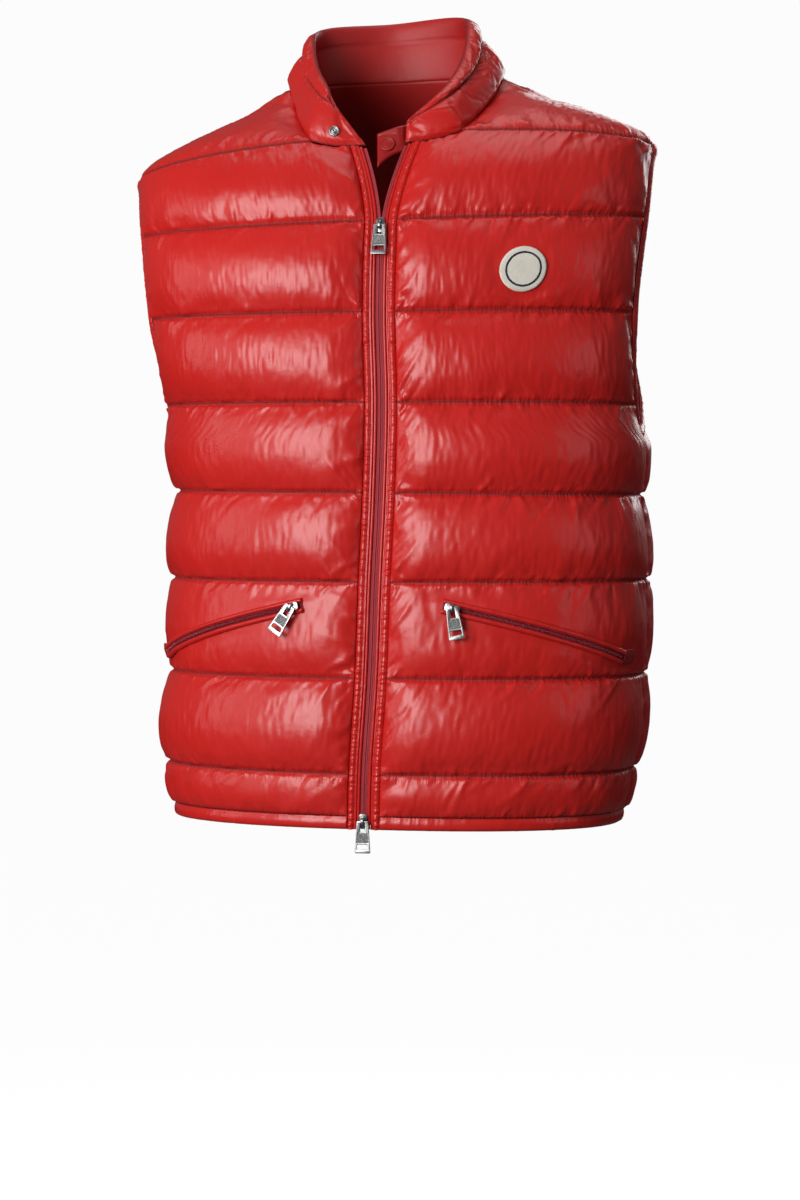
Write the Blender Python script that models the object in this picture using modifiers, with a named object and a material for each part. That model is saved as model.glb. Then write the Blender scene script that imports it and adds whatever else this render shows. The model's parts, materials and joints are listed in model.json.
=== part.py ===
"""Puffer vest in worn form: quilted down panels, a stand collar, a two-way front zip, two zip pockets.

The front faces -Y, +X is the wearer's left and +Z is up. The origin lies between the two points where the
shoulder seams meet the collar, level with them and 12 mm in front of them. Tables and named sizes are in
millimetres, and `stance` turns a point of the straight, even garment into metres in the stance in which it
hangs.
"""

import math

import bmesh
import bpy
import numpy as np
from mathutils import Matrix, Vector
from mathutils.bvhtree import BVHTree

MM = 0.001

# Heights, from the hem up to the sewn line under the shoulders.
HEM = -640.0
HEM_BAND_TOP = -628.0
HEM_COLUMNS = 48
HEM_LOFT = 1.5
SHOULDER_LINE = -52.0

# The cloth's inner face, a row for each height: half width, how far the front and the back lie from the
# section's middle, where that middle lies, and how square the oval is (2 is an ellipse).
SECTIONS = [
    # z, half_width, front, back, middle_y, squareness
    (-640, 195, 120, 116, 0, 2.30),
    (-592, 203, 127, 120, 0, 2.30),
    (-511, 206, 130, 117, 0, 2.30),
    (-430, 206, 130, 111, 0, 2.30),
    (-355, 200, 129, 109, 0, 2.35),
    (-300, 204, 128, 113, 0, 2.40),
    (-200, 219, 122, 119, 0, 2.40),
    (-126, 223, 109, 120, 0, 2.40),
    (-52, 221, 80, 108, 4, 2.40),
]

# Channels between two sewn lines, with the down's greatest loft over the seam's thickness.
CHANNELS = [
    # top, bottom, loft
    (-52, -126, 10.5),
    (-126, -203, 11),
    (-203, -279, 11),
    (-279, -355, 11),
    (-355, -430, 11),
    (-430, -511, 8),
    (-511, -592, 11),
    (-592, -628, 6),
]
CHANNEL_STEPS = (0.0, 0.22, 0.5, 0.78)
SEAM_THICKNESS = 3.4
SEAM_GAP = 0.3
LOFT_FADE = 26.0
SIDE_FADE = 48.0
YOKE_LOFT = 10.0
YOKE_FADE = 60.0
YOKE_ROWS = (0.0, 0.22, 0.5, 0.78, 1.0)

# The panels' edge round the armhole, an egg in the side view, and the strip that binds it.
ARMHOLE_MIDDLE_Z = -183.0
ARMHOLE_HALF_HEIGHT = 126.0
ARMHOLE_HALF_WIDTH = 62.0
ARMHOLE_MIDDLE_Y = 10.0
ARMHOLE_LEAN = 10.0
ARMHOLE_EGG = -0.05
UNDERARM_STEPS = (150, 160, 170)
BINDING_WIDTH = 9.0
BINDING_THICKNESS = 4.5
BINDING_GAP = 0.4
BINDING_TURN = math.radians(12)

# Shoulder seam, from the collar's seam out to the armhole binding, and the neckline round it, which dips
# below the shoulder line on its way to the zip.
NECK_SIDE = (93.0, 12.0, 0.0)
SHOULDER_TIP = (213.0, 20.0, -61.0)
NECK_SIDE_HANDLE = (15.0, 40.0, 15.0)
NECK_BACK_RISE = 13.0
NECK_BACK_DEPTH = 64.0
NECK_DIP = 7.0
NECK_FRONT = SHOULDER_LINE - NECK_DIP
SHOULDER_DIP = 17.0
SHOULDER_ROUNDING = (1.5, 0.0, 1.2)

# Columns of the panels' grids; the first two of a front lie under the collar.
FRONT_COLUMNS = 13
NECK_COLUMNS = 2
SHOULDER_COLUMNS = 5
BACK_NECK_COLUMNS = 14

# The front opening: half its gap above the closed zip, and the strips beside it, from the middle out.
ZIP_CLOSED_TO = -128.0
OPENING_AT_NECK = 19.5
ZIP_STRIP = (0.15, 3.0)
PIPING_MIDDLE = 4.6
PIPING_RADIUS = 1.2
PIPING_RISE = 1.9
PLACKET = (6.2, 13.8)
PANEL_EDGE = 14.1
ZIP_THICKNESS = 1.4
PLACKET_THICKNESS = 3.8

# Collar: the upper edge at places along the neckline, from the right front end round to the left one.
COLLAR_TOP = [
    # along, x, y, z
    (-1.00, -48, -70, -17),
    (-0.79, -51, -58, -6),
    (-0.60, -62, -20, 18),
    (-0.42, -64, 18, 45),
    (-0.22, -56, 56, 60),
    (0.00, 0, 80, 65),
    (0.22, 58, 56, 65),
    (0.42, 68, 18, 52),
    (0.60, 62, -20, 21),
    (0.79, 44, -62, -14),
    (1.00, 17, -78, -40),
]
COLLAR_COLUMNS = 40
COLLAR_LOWER_LOFT = 6.0
COLLAR_UPPER_LOFT = 5.0
COLLAR_FADE = 70.0
COLLAR_SEAM_SHARE = (0.90, 0.66)
COLLAR_LIFT = (1.9, 5.3, 2.4)
COLLAR_TAB = [
    # x, z
    (-8, -49),
    (-6, -80),
    (13.2, -69),
    (15.5, -43),
]
TAB_THICKNESS = 4.5
TAB_BULGE = 1.2

# Pocket zips: angle round the body and height at the inner and the outer end.
POCKET_ANGLES = (13.5, 67.0)
POCKET_HEIGHTS = (-449.7, -494.0)
POCKET_COLUMNS = 20
ON_PANEL = 0.8
POCKET_STRIPS = [
    # name, low, high, thickness
    ("upper_welt", 2.6, 6.2, 2.6),
    ("zip", -2.3, 2.3, 1.2),
    ("lower_welt", -6.2, -2.6, 2.6),
]
TACK_HALF_HEIGHT = 6.2
TACK_ANGLES = (67.5, 73.3)
TACK_THICKNESS = 2.2

# Zip slider, with its pull's bar under a bridge: local X goes across, Y along the pull, Z outwards.
# A block is its width, its length and the heights of its two faces.
STEM = (4.2, 11.0, 0.5, 2.8)
PLATE = (7.6, 13.0, 2.6, 3.8)
BRIDGE_WIDTH = 2.4
BRIDGE_OUTER = (3.6, 7.8)
BRIDGE_INNER = (2.3, 6.9)
HINGE_HEIGHT = 5.35
PULL_LENGTH = 26.5
PULL_HALF_WIDTHS = (5.0, 6.7)
PULL_THICKNESS = 1.3
PULL_BAR = 0.85
PULL_EYE = (2.0, 0.85, 8.4)
PULL_SLOT = (4.6, 19.0, 23.0)

# Where each slider sits: height on the front zip, or which pocket; and its pull's turn from straight down.
SLIDERS = [
    # name, z, side, pull_turn
    ("top", -131.0, 0, 0.0),
    ("bottom", -632.0, 0, 0.0),
    ("right_pocket", None, -1, -33.0),
    ("left_pocket", None, 1, 10.0),
]
POCKET_SLIDER_ANGLE = 2.2

# Snaps and the chest patch.
SNAP_CAP = (6.0, 2.6)
SNAP_STUD = (4.5, 2.0)
PATCH_ANGLE = 27.2
PATCH_HEIGHT = -170.0
PATCH_RADIUS = 18.5
PATCH_THICKNESS = 1.2

# How the garment hangs: for each height its tilt to the side, its shift sideways and its turn about +Z.
STANCE = [
    # z, tilt_degrees, shift, twist_degrees
    (-640, -0.2, 5, -3.0),
    (-592, -0.2, 8, -3.0),
    (-511, 0.0, 14, -3.0),
    (-430, 0.0, 16, -2.5),
    (-355, -0.5, 16, -1.0),
    (-279, -0.1, 13, 1.0),
    (-203, 0.5, 6, 3.0),
    (-126, 1.8, 5, 3.6),
    (-52, 3.4, 3, 5.0),
    (0, 2.2, 3, 5.5),
    (60, 1.8, -7, 5.5),
]

COLOURS = [
    # name, red, green, blue, roughness, metallic
    ("red_nylon", 0.58, 0.025, 0.021, 0.32, 0.0),
    ("crimson_tape", 0.38, 0.021, 0.038, 0.60, 0.0),
    ("bright_metal", 0.78, 0.78, 0.77, 0.22, 1.0),
    ("off_white_felt", 0.80, 0.76, 0.66, 0.85, 0.0),
]


def smooth_table(rows):
    """A smooth curve through a table whose first column is the place along it."""
    table = np.array(rows, dtype=float)
    places, values = table[:, 0], table[:, 1:]
    slopes = np.gradient(values, places, axis=0)

    def value_at(place):
        row = int(np.clip(np.searchsorted(places, place) - 1, 0, len(places) - 2))
        span = places[row + 1] - places[row]
        t = float(np.clip((place - places[row]) / span, 0.0, 1.0))
        return (
            (2 * t**3 - 3 * t**2 + 1) * values[row]
            + (t**3 - 2 * t**2 + t) * span * slopes[row]
            + (3 * t**2 - 2 * t**3) * values[row + 1]
            + (t**3 - t**2) * span * slopes[row + 1]
        )

    return value_at


section_at = smooth_table(SECTIONS)
stance_at = smooth_table(STANCE)
collar_top_at = smooth_table(COLLAR_TOP)


def stance(point):
    """A point of the straight garment, in millimetres, as it hangs, in metres."""
    x, y, z = (float(value) for value in point)
    tilt, shift, twist = stance_at(z)
    turned = Vector((x, y)) @ Matrix.Rotation(math.radians(-twist), 2)
    return Vector((turned.x + shift, turned.y, z + x * math.sin(math.radians(tilt)))) * MM


def signed_power(value, power):
    return math.copysign(abs(value) ** power, value)


def section_point(z, angle):
    """The inner face at height z and an angle in radians: 0 is the front, half pi the left side."""
    half_width, front, back, middle, squareness = section_at(z)
    depth = front if math.cos(angle) > 0 else back
    power = 2 / squareness
    x = half_width * signed_power(math.sin(angle), power)
    return np.array((x, middle - depth * signed_power(math.cos(angle), power), z))


def angle_at_y(z, y):
    """The angle on the left side at which the section at height z passes y."""
    _, front, back, middle, squareness = section_at(z)
    depth = front if y < middle else back
    return math.acos(max(-1.0, min(1.0, signed_power((middle - y) / depth, squareness / 2))))


def angle_at_x(z, x):
    """The angle on the front at which the section at height z passes x."""
    half_width, squareness = section_at(z)[0], section_at(z)[4]
    return math.asin(signed_power(x / half_width, squareness / 2))


def even_angles(z, start, end, count):
    """Angles that cut the section between start and end into equal lengths."""
    fine = np.linspace(start, end, 160)
    points = np.array([section_point(z, angle) for angle in fine])
    length = np.concatenate([[0], np.cumsum(np.linalg.norm(np.diff(points, axis=0), axis=1))])
    return np.interp(np.linspace(0, length[-1], count + 1), length, fine)


def even_points(points, count):
    """A polyline's points, spread again at equal lengths."""
    points = np.array(points, dtype=float)
    length = np.concatenate([[0], np.cumsum(np.linalg.norm(np.diff(points, axis=0), axis=1))])
    wanted = np.linspace(0, length[-1], count + 1)
    return np.stack([np.interp(wanted, length, points[:, axis]) for axis in range(3)], axis=1)


def bend_between(start, handle, end, count):
    """A quadratic curve from start to end, drawn towards handle."""
    start, handle, end = (np.array(point, dtype=float) for point in (start, handle, end))
    shares = np.linspace(0, 1, count + 1)
    return [(1 - t) ** 2 * start + 2 * t * (1 - t) * handle + t**2 * end for t in shares]


def opening(z):
    """Half the gap between the two sides of the front zip."""
    share = max(0.0, (z - ZIP_CLOSED_TO) / (SHOULDER_LINE - ZIP_CLOSED_TO))
    return OPENING_AT_NECK * share**1.5


def armhole_y(z, side):
    """Where the panel's edge crosses height z, in front (side -1) or behind (side 1)."""
    cosine = max(-1.0, min(1.0, (z - ARMHOLE_MIDDLE_Z) / ARMHOLE_HALF_HEIGHT))
    width = ARMHOLE_HALF_WIDTH * math.sqrt(1 - cosine**2) * (1 + ARMHOLE_EGG * cosine)
    return ARMHOLE_MIDDLE_Y + ARMHOLE_LEAN * cosine + side * width


def side_y(z, side):
    """Where a panel ends at the side: on the armhole, or below it half a gap from the side seam."""
    underarm = ARMHOLE_MIDDLE_Z - ARMHOLE_HALF_HEIGHT
    if z > underarm + 0.01:
        return armhole_y(z, side) + side * SEAM_GAP / 2
    return ARMHOLE_MIDDLE_Y - ARMHOLE_LEAN + side * SEAM_GAP / 2


def panel_heights():
    """Heights of a panel's rows from the hem band up, with the loft at each."""
    underarm = [
        ARMHOLE_MIDDLE_Z + ARMHOLE_HALF_HEIGHT * math.cos(math.radians(step)) for step in UNDERARM_STEPS
    ] + [ARMHOLE_MIDDLE_Z - ARMHOLE_HALF_HEIGHT]
    heights = {}
    for top, bottom, loft in CHANNELS:
        in_channel = [z for z in underarm if bottom < z < top]
        lowest = min(in_channel, default=top)
        levels = [lowest + (bottom - lowest) * step for step in CHANNEL_STEPS] + in_channel
        for z in set([top, bottom] + levels):
            middle = (2 * z - top - bottom) / (top - bottom)
            heights[z] = loft * (1 - middle**2) ** 0.6
    return sorted(heights.items())


def material(name):
    """The named colour as a Principled material."""
    if name in bpy.data.materials:
        return bpy.data.materials[name]
    _, red, green, blue, roughness, metallic = next(row for row in COLOURS if row[0] == name)
    made = bpy.data.materials.new(name)
    made.use_nodes = True
    shader = made.node_tree.nodes["Principled BSDF"]
    shader.inputs["Base Color"].default_value = (red, green, blue, 1)
    shader.inputs["Roughness"].default_value = roughness
    shader.inputs["Metallic"].default_value = metallic
    return made


def add_object(name, data, finish, collection="puffer_vest"):
    """A new object in its collection, with its material."""
    made = bpy.data.objects.new(name, data)
    bpy.data.collections[collection].objects.link(made)
    data.materials.append(material(finish))
    return made


def cloth(name, points, loft, least, finish="red_nylon", closed=False, outward=None):
    """A wall on a grid of inner points, in millimetres, thickened outwards by least plus loft."""
    points = np.asarray(points, dtype=float)
    loft = np.broadcast_to(np.asarray(loft, dtype=float), points.shape[:2])
    rows, columns = points.shape[0] - 1, points.shape[1] - 1
    bm = bmesh.new()
    bmesh.ops.create_grid(bm, x_segments=columns, y_segments=rows, size=0.5)
    weights = bm.verts.layers.deform.verify()
    greatest = max(float(np.nanmax(loft)), 0.001)
    unused = []
    for vert in bm.verts:
        row, column = round((vert.co.y + 0.5) * rows), round((vert.co.x + 0.5) * columns)
        if np.isnan(points[row, column, 0]):
            unused.append(vert)
            continue
        vert.co = stance(points[row, column])
        vert[weights][0] = loft[row, column] / greatest
    bmesh.ops.delete(bm, geom=unused, context="VERTS")
    if closed:
        bmesh.ops.remove_doubles(bm, verts=bm.verts, dist=0.00005)
    bm.normal_update()
    if outward is None:
        facing = sum(face.normal.xy.dot(face.calc_center_median().xy) for face in bm.faces)
    else:
        facing = sum(face.normal.dot(Vector(outward)) for face in bm.faces)
    if facing < 0:
        bmesh.ops.reverse_faces(bm, faces=bm.faces)
    mesh = bpy.data.meshes.new(name)
    bm.to_mesh(mesh)
    bm.free()
    mesh.shade_smooth()
    made = add_object(name, mesh, finish)
    made.vertex_groups.new(name="loft")
    wall = made.modifiers.new("wall", "SOLIDIFY")
    wall.thickness = (least + greatest) * MM
    wall.offset = 1
    wall.vertex_group = "loft"
    wall.thickness_vertex_group = least / (least + greatest)
    return made


def mirrored(points, side):
    """The points on the wearer's left (side 1) or mirrored to the right (side -1)."""
    return np.asarray(points, dtype=float) * np.array((side, 1, 1))


def fade(length, start_reach=LOFT_FADE, end_reach=LOFT_FADE):
    """Share of the loft at lengths along a row, which falls to nothing at the seams at its ends."""
    length = np.asarray(length, dtype=float)
    from_start = np.sqrt(np.clip(length / start_reach, 0, 1))
    from_end = np.sqrt(np.clip((length[-1] - length) / end_reach, 0, 1))
    return np.minimum(from_start, from_end)


def lengths(row):
    """Length along a row of points up to each of them."""
    return np.concatenate([[0], np.cumsum(np.linalg.norm(np.diff(row, axis=0), axis=1))])


def dipped(z, top_share, share_out, neck_dip=0.0):
    """A row's height, which near the shoulder line dips towards the shoulder's tip and towards the zip."""
    towards_zip = max(0.0, 1 - (share_out * FRONT_COLUMNS / NECK_COLUMNS) ** 2)
    return z - top_share * (SHOULDER_DIP * share_out**2 + neck_dip * towards_zip)


def patch(bottom, top, start, end, shares):
    """Rows between two edges, which also follow the two side edges (a Coons patch)."""
    bottom, top, start, end = (np.asarray(edge, dtype=float) for edge in (bottom, top, start, end))
    across = lengths(bottom) / lengths(bottom)[-1]
    rows = []
    for v, share in enumerate(shares):
        ruled = (1 - share) * bottom + share * top
        sides = np.outer(1 - across, start[v]) + np.outer(across, end[v])
        corners = np.outer(1 - across, (1 - share) * bottom[0] + share * top[0]) + np.outer(
            across, (1 - share) * bottom[-1] + share * top[-1]
        )
        rows.append(ruled + sides - corners)
    return rows


def shoulder_edge(start, side):
    """The armhole edge from the shoulder line's end up to the shoulder seam."""
    tip = np.array(SHOULDER_TIP) + np.array((0, side * SEAM_GAP / 2, 0))
    handle = (np.array(start) + tip) / 2 + np.array(SHOULDER_ROUNDING)
    curve = bend_between(start, handle, tip, 40)
    return [curve[round(share * 40)] for share in YOKE_ROWS]


def shoulder_seam(side, count):
    """Points of the shoulder seam from the neck out, half a gap to its front or back."""
    neck, tip = np.array(NECK_SIDE), np.array(SHOULDER_TIP)
    aside = np.array((0, side * SEAM_GAP / 2, 0))
    return [neck + (tip - neck) * t + aside for t in np.linspace(0, 1, count + 1)]


def neck_side_edge(start, count):
    """The neckline from the front of the shoulder line up to the shoulder seam."""
    handle = np.array(start) + np.array(NECK_SIDE_HANDLE)
    return bend_between(start, handle, np.array(NECK_SIDE) - np.array((0, SEAM_GAP / 2, 0)), count)


def neck_back_edge(count):
    """The neckline behind, from the right shoulder seam round to the left one."""
    x, y, z = NECK_SIDE
    turns = np.linspace(-math.pi / 2, math.pi / 2, 200)
    curve = [
        (x * math.sin(a), y + NECK_BACK_DEPTH * math.cos(a), z + NECK_BACK_RISE * math.cos(a)) for a in turns
    ]
    return even_points(curve, count) + np.array((0, SEAM_GAP / 2, 0))


def front_grid():
    """Inner points and loft of the left front: rows up to the shoulder line, then the yoke."""
    rows, loft = [], []
    heights = panel_heights()
    line_below = CHANNELS[0][1]
    for z, row_loft in heights:
        top_share = max(0.0, (z - line_below) / (SHOULDER_LINE - line_below))
        start_z, end_z = dipped(z, top_share, 0.0, NECK_DIP), dipped(z, top_share, 1.0)
        start = angle_at_x(start_z, PANEL_EDGE + opening(start_z))
        end = angle_at_y(end_z, side_y(end_z, -1))
        angles = even_angles(z, start, end, FRONT_COLUMNS)
        out = np.linspace(0, 1, FRONT_COLUMNS + 1)
        levels = [dipped(z, top_share, share, NECK_DIP) for share in out]
        rows.append([section_point(level, a) for level, a in zip(levels, angles)])
        loft.append(row_loft * fade(lengths(np.array(rows[-1])), end_reach=SIDE_FADE))
    line = np.array(rows[-1])
    yoke_line = line[NECK_COLUMNS:]
    neck = neck_side_edge(line[NECK_COLUMNS], 40)
    yoke = patch(
        yoke_line,
        shoulder_seam(-1, FRONT_COLUMNS - NECK_COLUMNS),
        [neck[round(share * 40)] for share in YOKE_ROWS],
        shoulder_edge(line[-1], -1),
        YOKE_ROWS,
    )
    for share, row in list(zip(YOKE_ROWS, yoke))[1:]:
        rows.append(np.vstack([np.full((NECK_COLUMNS, 3), np.nan), row]))
        bulge = YOKE_LOFT * (1 - (2 * share - 1) ** 2) ** 0.6 * fade(lengths(row), YOKE_FADE, YOKE_FADE)
        loft.append(np.concatenate([np.zeros(NECK_COLUMNS), bulge]))
    return np.array([np.array(row) for row in rows]), np.array(loft)


def back_grid():
    """Inner points and loft of the back, from the right side round to the left one."""
    columns = 2 * SHOULDER_COLUMNS + BACK_NECK_COLUMNS
    rows, loft = [], []
    line_below = CHANNELS[0][1]
    for z, row_loft in panel_heights():
        top_share = max(0.0, (z - line_below) / (SHOULDER_LINE - line_below))
        end_z = dipped(z, top_share, 1.0)
        edge = angle_at_y(end_z, side_y(end_z, 1))
        angles = even_angles(z, 2 * math.pi - edge, edge, columns)
        out = np.abs(np.linspace(-1, 1, columns + 1))
        rows.append([section_point(dipped(z, top_share, share), a) for share, a in zip(out, angles)])
        loft.append(row_loft * fade(lengths(np.array(rows[-1])), SIDE_FADE, SIDE_FADE))
    line = np.array(rows[-1])
    seam = np.array(shoulder_seam(1, SHOULDER_COLUMNS))
    top = np.vstack([mirrored(seam[::-1], -1)[:-1], neck_back_edge(BACK_NECK_COLUMNS), seam[1:]])
    left_edge = shoulder_edge(line[-1], 1)
    right_edge = [mirrored(point, -1) for point in left_edge]
    for share, row in list(zip(YOKE_ROWS, patch(line, top, right_edge, left_edge, YOKE_ROWS)))[1:]:
        rows.append(row)
        loft.append(YOKE_LOFT * (1 - (2 * share - 1) ** 2) ** 0.6 * fade(lengths(row)))
    return np.array([np.array(row) for row in rows]), np.array(loft)


def binding_grid(front, back):
    """The armhole binding on the left: a closed ribbon that goes on from the panels' edges."""
    underarm_row = next(
        row for row, (z, _) in enumerate(panel_heights()) if z > ARMHOLE_MIDDLE_Z - ARMHOLE_HALF_HEIGHT - 0.01
    )
    front_edge, back_edge = front[underarm_row:, -1], back[underarm_row:, -1]
    rows = np.arange(underarm_row, len(front))
    rows_in = np.where(front_edge[:, 2] < ARMHOLE_MIDDLE_Z, rows - 2, rows)
    front_in, back_in = front[rows_in, -2], back[rows_in, -2]
    tip_in = (front[-1, -2] + back[-1, -2]) / 2
    loop = list(front_edge[1:-1]) + [(front_edge[-1] + back_edge[-1]) / 2]
    loop += list(back_edge[1:-1][::-1]) + [(front_edge[0] + back_edge[0]) / 2]
    inward = list(front_in[1:-1]) + [tip_in]
    inward += list(back_in[1:-1][::-1]) + [(front[underarm_row - 1, -1] + back[underarm_row - 1, -1]) / 2]
    loop, inward = np.array(loop), np.array(inward)
    near, far = [], []
    for index, point in enumerate(loop):
        tangent = loop[(index + 1) % len(loop)] - loop[index - 1]
        tangent /= np.linalg.norm(tangent)
        across = point - inward[index]
        across -= tangent * across.dot(tangent)
        across /= np.linalg.norm(across)
        outward = np.cross(tangent, across)
        outward *= math.copysign(1, outward[0])
        across = across * math.cos(BINDING_TURN) - outward * math.sin(BINDING_TURN)
        near.append(point + across * BINDING_GAP)
        far.append(point + across * (BINDING_GAP + BINDING_WIDTH))
    rows = np.array([near, (np.array(near) + np.array(far)) / 2, far])
    return np.concatenate([rows, rows[:, :1]], axis=1)


def strip_beside_zip(inner, outer, bottom, top):
    """Grid of a strip that runs up beside the zip, between two distances from the middle."""
    heights = [bottom] + [z for z, _ in panel_heights() if bottom < z < top] + [top]
    return [[section_point(z, angle_at_x(z, x + opening(z))) for x in (inner, outer)] for z in heights]


def tube(name, points, radius, finish):
    """A round strand along a polyline."""
    curve = bpy.data.curves.new(name, "CURVE")
    curve.dimensions = "3D"
    curve.bevel_depth = radius * MM
    curve.bevel_resolution = 1
    curve.use_fill_caps = True
    spline = curve.splines.new("POLY")
    spline.points.add(len(points) - 1)
    for place, point in zip(spline.points, points):
        place.co = (*stance(point), 1)
    return add_object(name, curve, finish)


def neckline(front):
    """The whole neckline, from the right front end round the back to the left one."""
    line = next(row for row, (z, _) in enumerate(panel_heights()) if z > SHOULDER_LINE - 0.01)
    first_x = opening(NECK_FRONT) + ZIP_STRIP[0]
    start = section_point(NECK_FRONT, angle_at_x(NECK_FRONT, first_x))
    left = [start] + [front[line, column] for column in range(NECK_COLUMNS)]
    left += neck_side_edge(front[line, NECK_COLUMNS], 12)
    behind = neck_back_edge(40)
    whole = [mirrored(point, -1) for point in left] + list(behind[1:-1]) + left[::-1]
    return even_points(whole, 200)


def collar_grid(front):
    """Inner points and loft of the collar's two channels."""
    base = neckline(front)
    places = np.linspace(-1, 1, COLLAR_COLUMNS + 1)
    lower, upper = (0.0, 0.22, 0.5, 0.78, 1.0), (0.33, 0.67, 1.0)
    rows = [[] for _ in range(len(lower) + len(upper))]
    for place in places:
        start = base[round((place + 1) * 100)]
        start = start + np.array((0, 0, np.interp(1 - abs(place), (0.0, 0.5, 1.0), COLLAR_LIFT)))
        end = collar_top_at(place)
        seam = np.interp(1 - abs(place), (0.0, 0.45), COLLAR_SEAM_SHARE)
        shares = [seam * step for step in lower] + [seam + (1 - seam) * step for step in upper]
        for row, share in zip(rows, shares):
            row.append(start + (end - start) * share)
    profile = [COLLAR_LOWER_LOFT * (1 - (2 * step - 1) ** 2) ** 0.6 for step in lower]
    profile += [COLLAR_UPPER_LOFT * step for step in (0.9, 0.9, 0.15)]
    along = lengths(np.array(rows[0]))
    ends = fade(along, COLLAR_FADE, COLLAR_FADE)
    taper = np.interp(1 - np.abs(places), (0.0, 0.3), (0.2, 1.0))
    loft = [value * ends * (taper if row >= len(lower) else 1.0) for row, value in enumerate(profile)]
    return np.array(rows), np.array(loft)


def seen_panel(panel):
    """A search tree of a panel's finished outer faces."""
    return BVHTree.FromObject(panel, bpy.context.evaluated_depsgraph_get())


def on_panel(tree, angle, z):
    """The point of a panel's outer face at an angle and a height, and the way out from it, in metres."""
    around = section_point(z, angle)
    away = np.array((math.sin(angle), -math.cos(angle), 0.0))
    outside, inside = stance(around + away * 60), stance(around - away * 2)
    hit, normal, _, _ = tree.ray_cast(outside, (inside - outside).normalized())
    return hit, normal


def pocket_height(angle):
    """Height of the pocket zip's line at an angle in degrees."""
    return float(np.interp(abs(angle), POCKET_ANGLES, POCKET_HEIGHTS))


def strip_on_panel(name, tree, places, low, high, thickness, finish, steps=1):
    """A flat strip on a panel, along (angle, height) places and between two offsets across them."""
    rows = []
    for offset in np.linspace(low, high, steps + 1):
        row = []
        for angle, z in places:
            hit, normal = on_panel(tree, math.radians(angle), z + offset)
            row.append(hit + normal * ON_PANEL * MM)
        rows.append(row)
    return posed_cloth(name, rows, thickness, finish)


def posed_cloth(name, rows, thickness, finish):
    """A wall of even thickness over rows of points that already hang in place, in metres."""
    count = len(rows) - 1, len(rows[0]) - 1
    bm = bmesh.new()
    bmesh.ops.create_grid(bm, x_segments=count[1], y_segments=count[0], size=0.5)
    for vert in bm.verts:
        row, column = round((vert.co.y + 0.5) * count[0]), round((vert.co.x + 0.5) * count[1])
        vert.co = rows[row][column]
    bm.normal_update()
    if sum(face.normal.xy.dot(face.calc_center_median().xy) for face in bm.faces) < 0:
        bmesh.ops.reverse_faces(bm, faces=bm.faces)
    mesh = bpy.data.meshes.new(name)
    bm.to_mesh(mesh)
    bm.free()
    mesh.shade_smooth()
    made = add_object(name, mesh, finish)
    wall = made.modifiers.new("wall", "SOLIDIFY")
    wall.thickness = thickness * MM
    wall.offset = 1
    return made


def disc_on_panel(name, tree, angle, z, radius, thickness, finish):
    """A round patch on a panel: a square grid drawn out to a disc, laid on the outer face."""
    angle = math.radians(angle)
    cells = 8
    steps = np.linspace(-1, 1, cells + 1)
    nearby = 0.01
    length_of_radian = np.linalg.norm(section_point(z, angle + nearby) - section_point(z, angle)) / nearby
    rows = []
    for v in steps:
        row = []
        for u in steps:
            x, y = u * math.sqrt(1 - v * v / 2) * radius, v * math.sqrt(1 - u * u / 2) * radius
            hit, normal = on_panel(tree, angle + x / length_of_radian, z + y)
            row.append(hit + normal * ON_PANEL * MM)
        rows.append(row)
    return posed_cloth(name, rows, thickness, finish)


def frame_at(origin, outward, down):
    """A place with Z along outward and -Y along down as nearly as that allows."""
    z_axis = outward.normalized()
    y_axis = -(down - z_axis * down.dot(z_axis)).normalized()
    x_axis = y_axis.cross(z_axis)
    place = Matrix((x_axis, y_axis, z_axis)).transposed().to_4x4()
    place.translation = origin
    return place


def block(name, width, length, low, high, finish="bright_metal", collection="puffer_vest"):
    """A box in the slider's own axes, from height low to high."""
    bm = bmesh.new()
    bmesh.ops.create_cube(bm, size=1)
    bmesh.ops.scale(bm, vec=Vector((width, length, high - low)) * MM, verts=bm.verts)
    bmesh.ops.translate(bm, vec=(0, 0, (low + high) / 2 * MM), verts=bm.verts)
    mesh = bpy.data.meshes.new(name)
    bm.to_mesh(mesh)
    bm.free()
    return add_object(name, mesh, finish, collection)


def outline_solid(name, outlines, half_thickness, collection="puffer_vest"):
    """A flat plate with the given outer outline and holes, in millimetres, as a mesh."""
    curve = bpy.data.curves.new(name, "CURVE")
    curve.dimensions = "2D"
    curve.fill_mode = "BOTH"
    curve.extrude = half_thickness * MM
    for outline in outlines:
        spline = curve.splines.new("POLY")
        spline.points.add(len(outline) - 1)
        spline.use_cyclic_u = True
        for place, (x, y) in zip(spline.points, outline):
            place.co = (x * MM, y * MM, 0, 1)
    drawn = bpy.data.objects.new(name + "_outline", curve)
    bpy.data.collections[collection].objects.link(drawn)
    mesh = bpy.data.meshes.new_from_object(drawn.evaluated_get(bpy.context.evaluated_depsgraph_get()))
    bpy.data.objects.remove(drawn)
    bm = bmesh.new()
    bm.from_mesh(mesh)
    bmesh.ops.remove_doubles(bm, verts=bm.verts, dist=0.00001)
    bm.to_mesh(mesh)
    bm.free()
    mesh.materials.clear()
    return add_object(name, mesh, "bright_metal", collection)


def rounded_outline(corners, radius, steps=3):
    """A polygon with its corners rounded."""
    outline = []
    for index, corner in enumerate(corners):
        corner = Vector(corner)
        before, after = Vector(corners[index - 1]), Vector(corners[(index + 1) % len(corners)])
        first = corner + (before - corner).normalized() * radius
        last = corner + (after - corner).normalized() * radius
        for t in np.linspace(0, 1, steps + 1):
            outline.append(tuple((1 - t) ** 2 * first + 2 * t * (1 - t) * corner + t**2 * last))
    return outline


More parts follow.
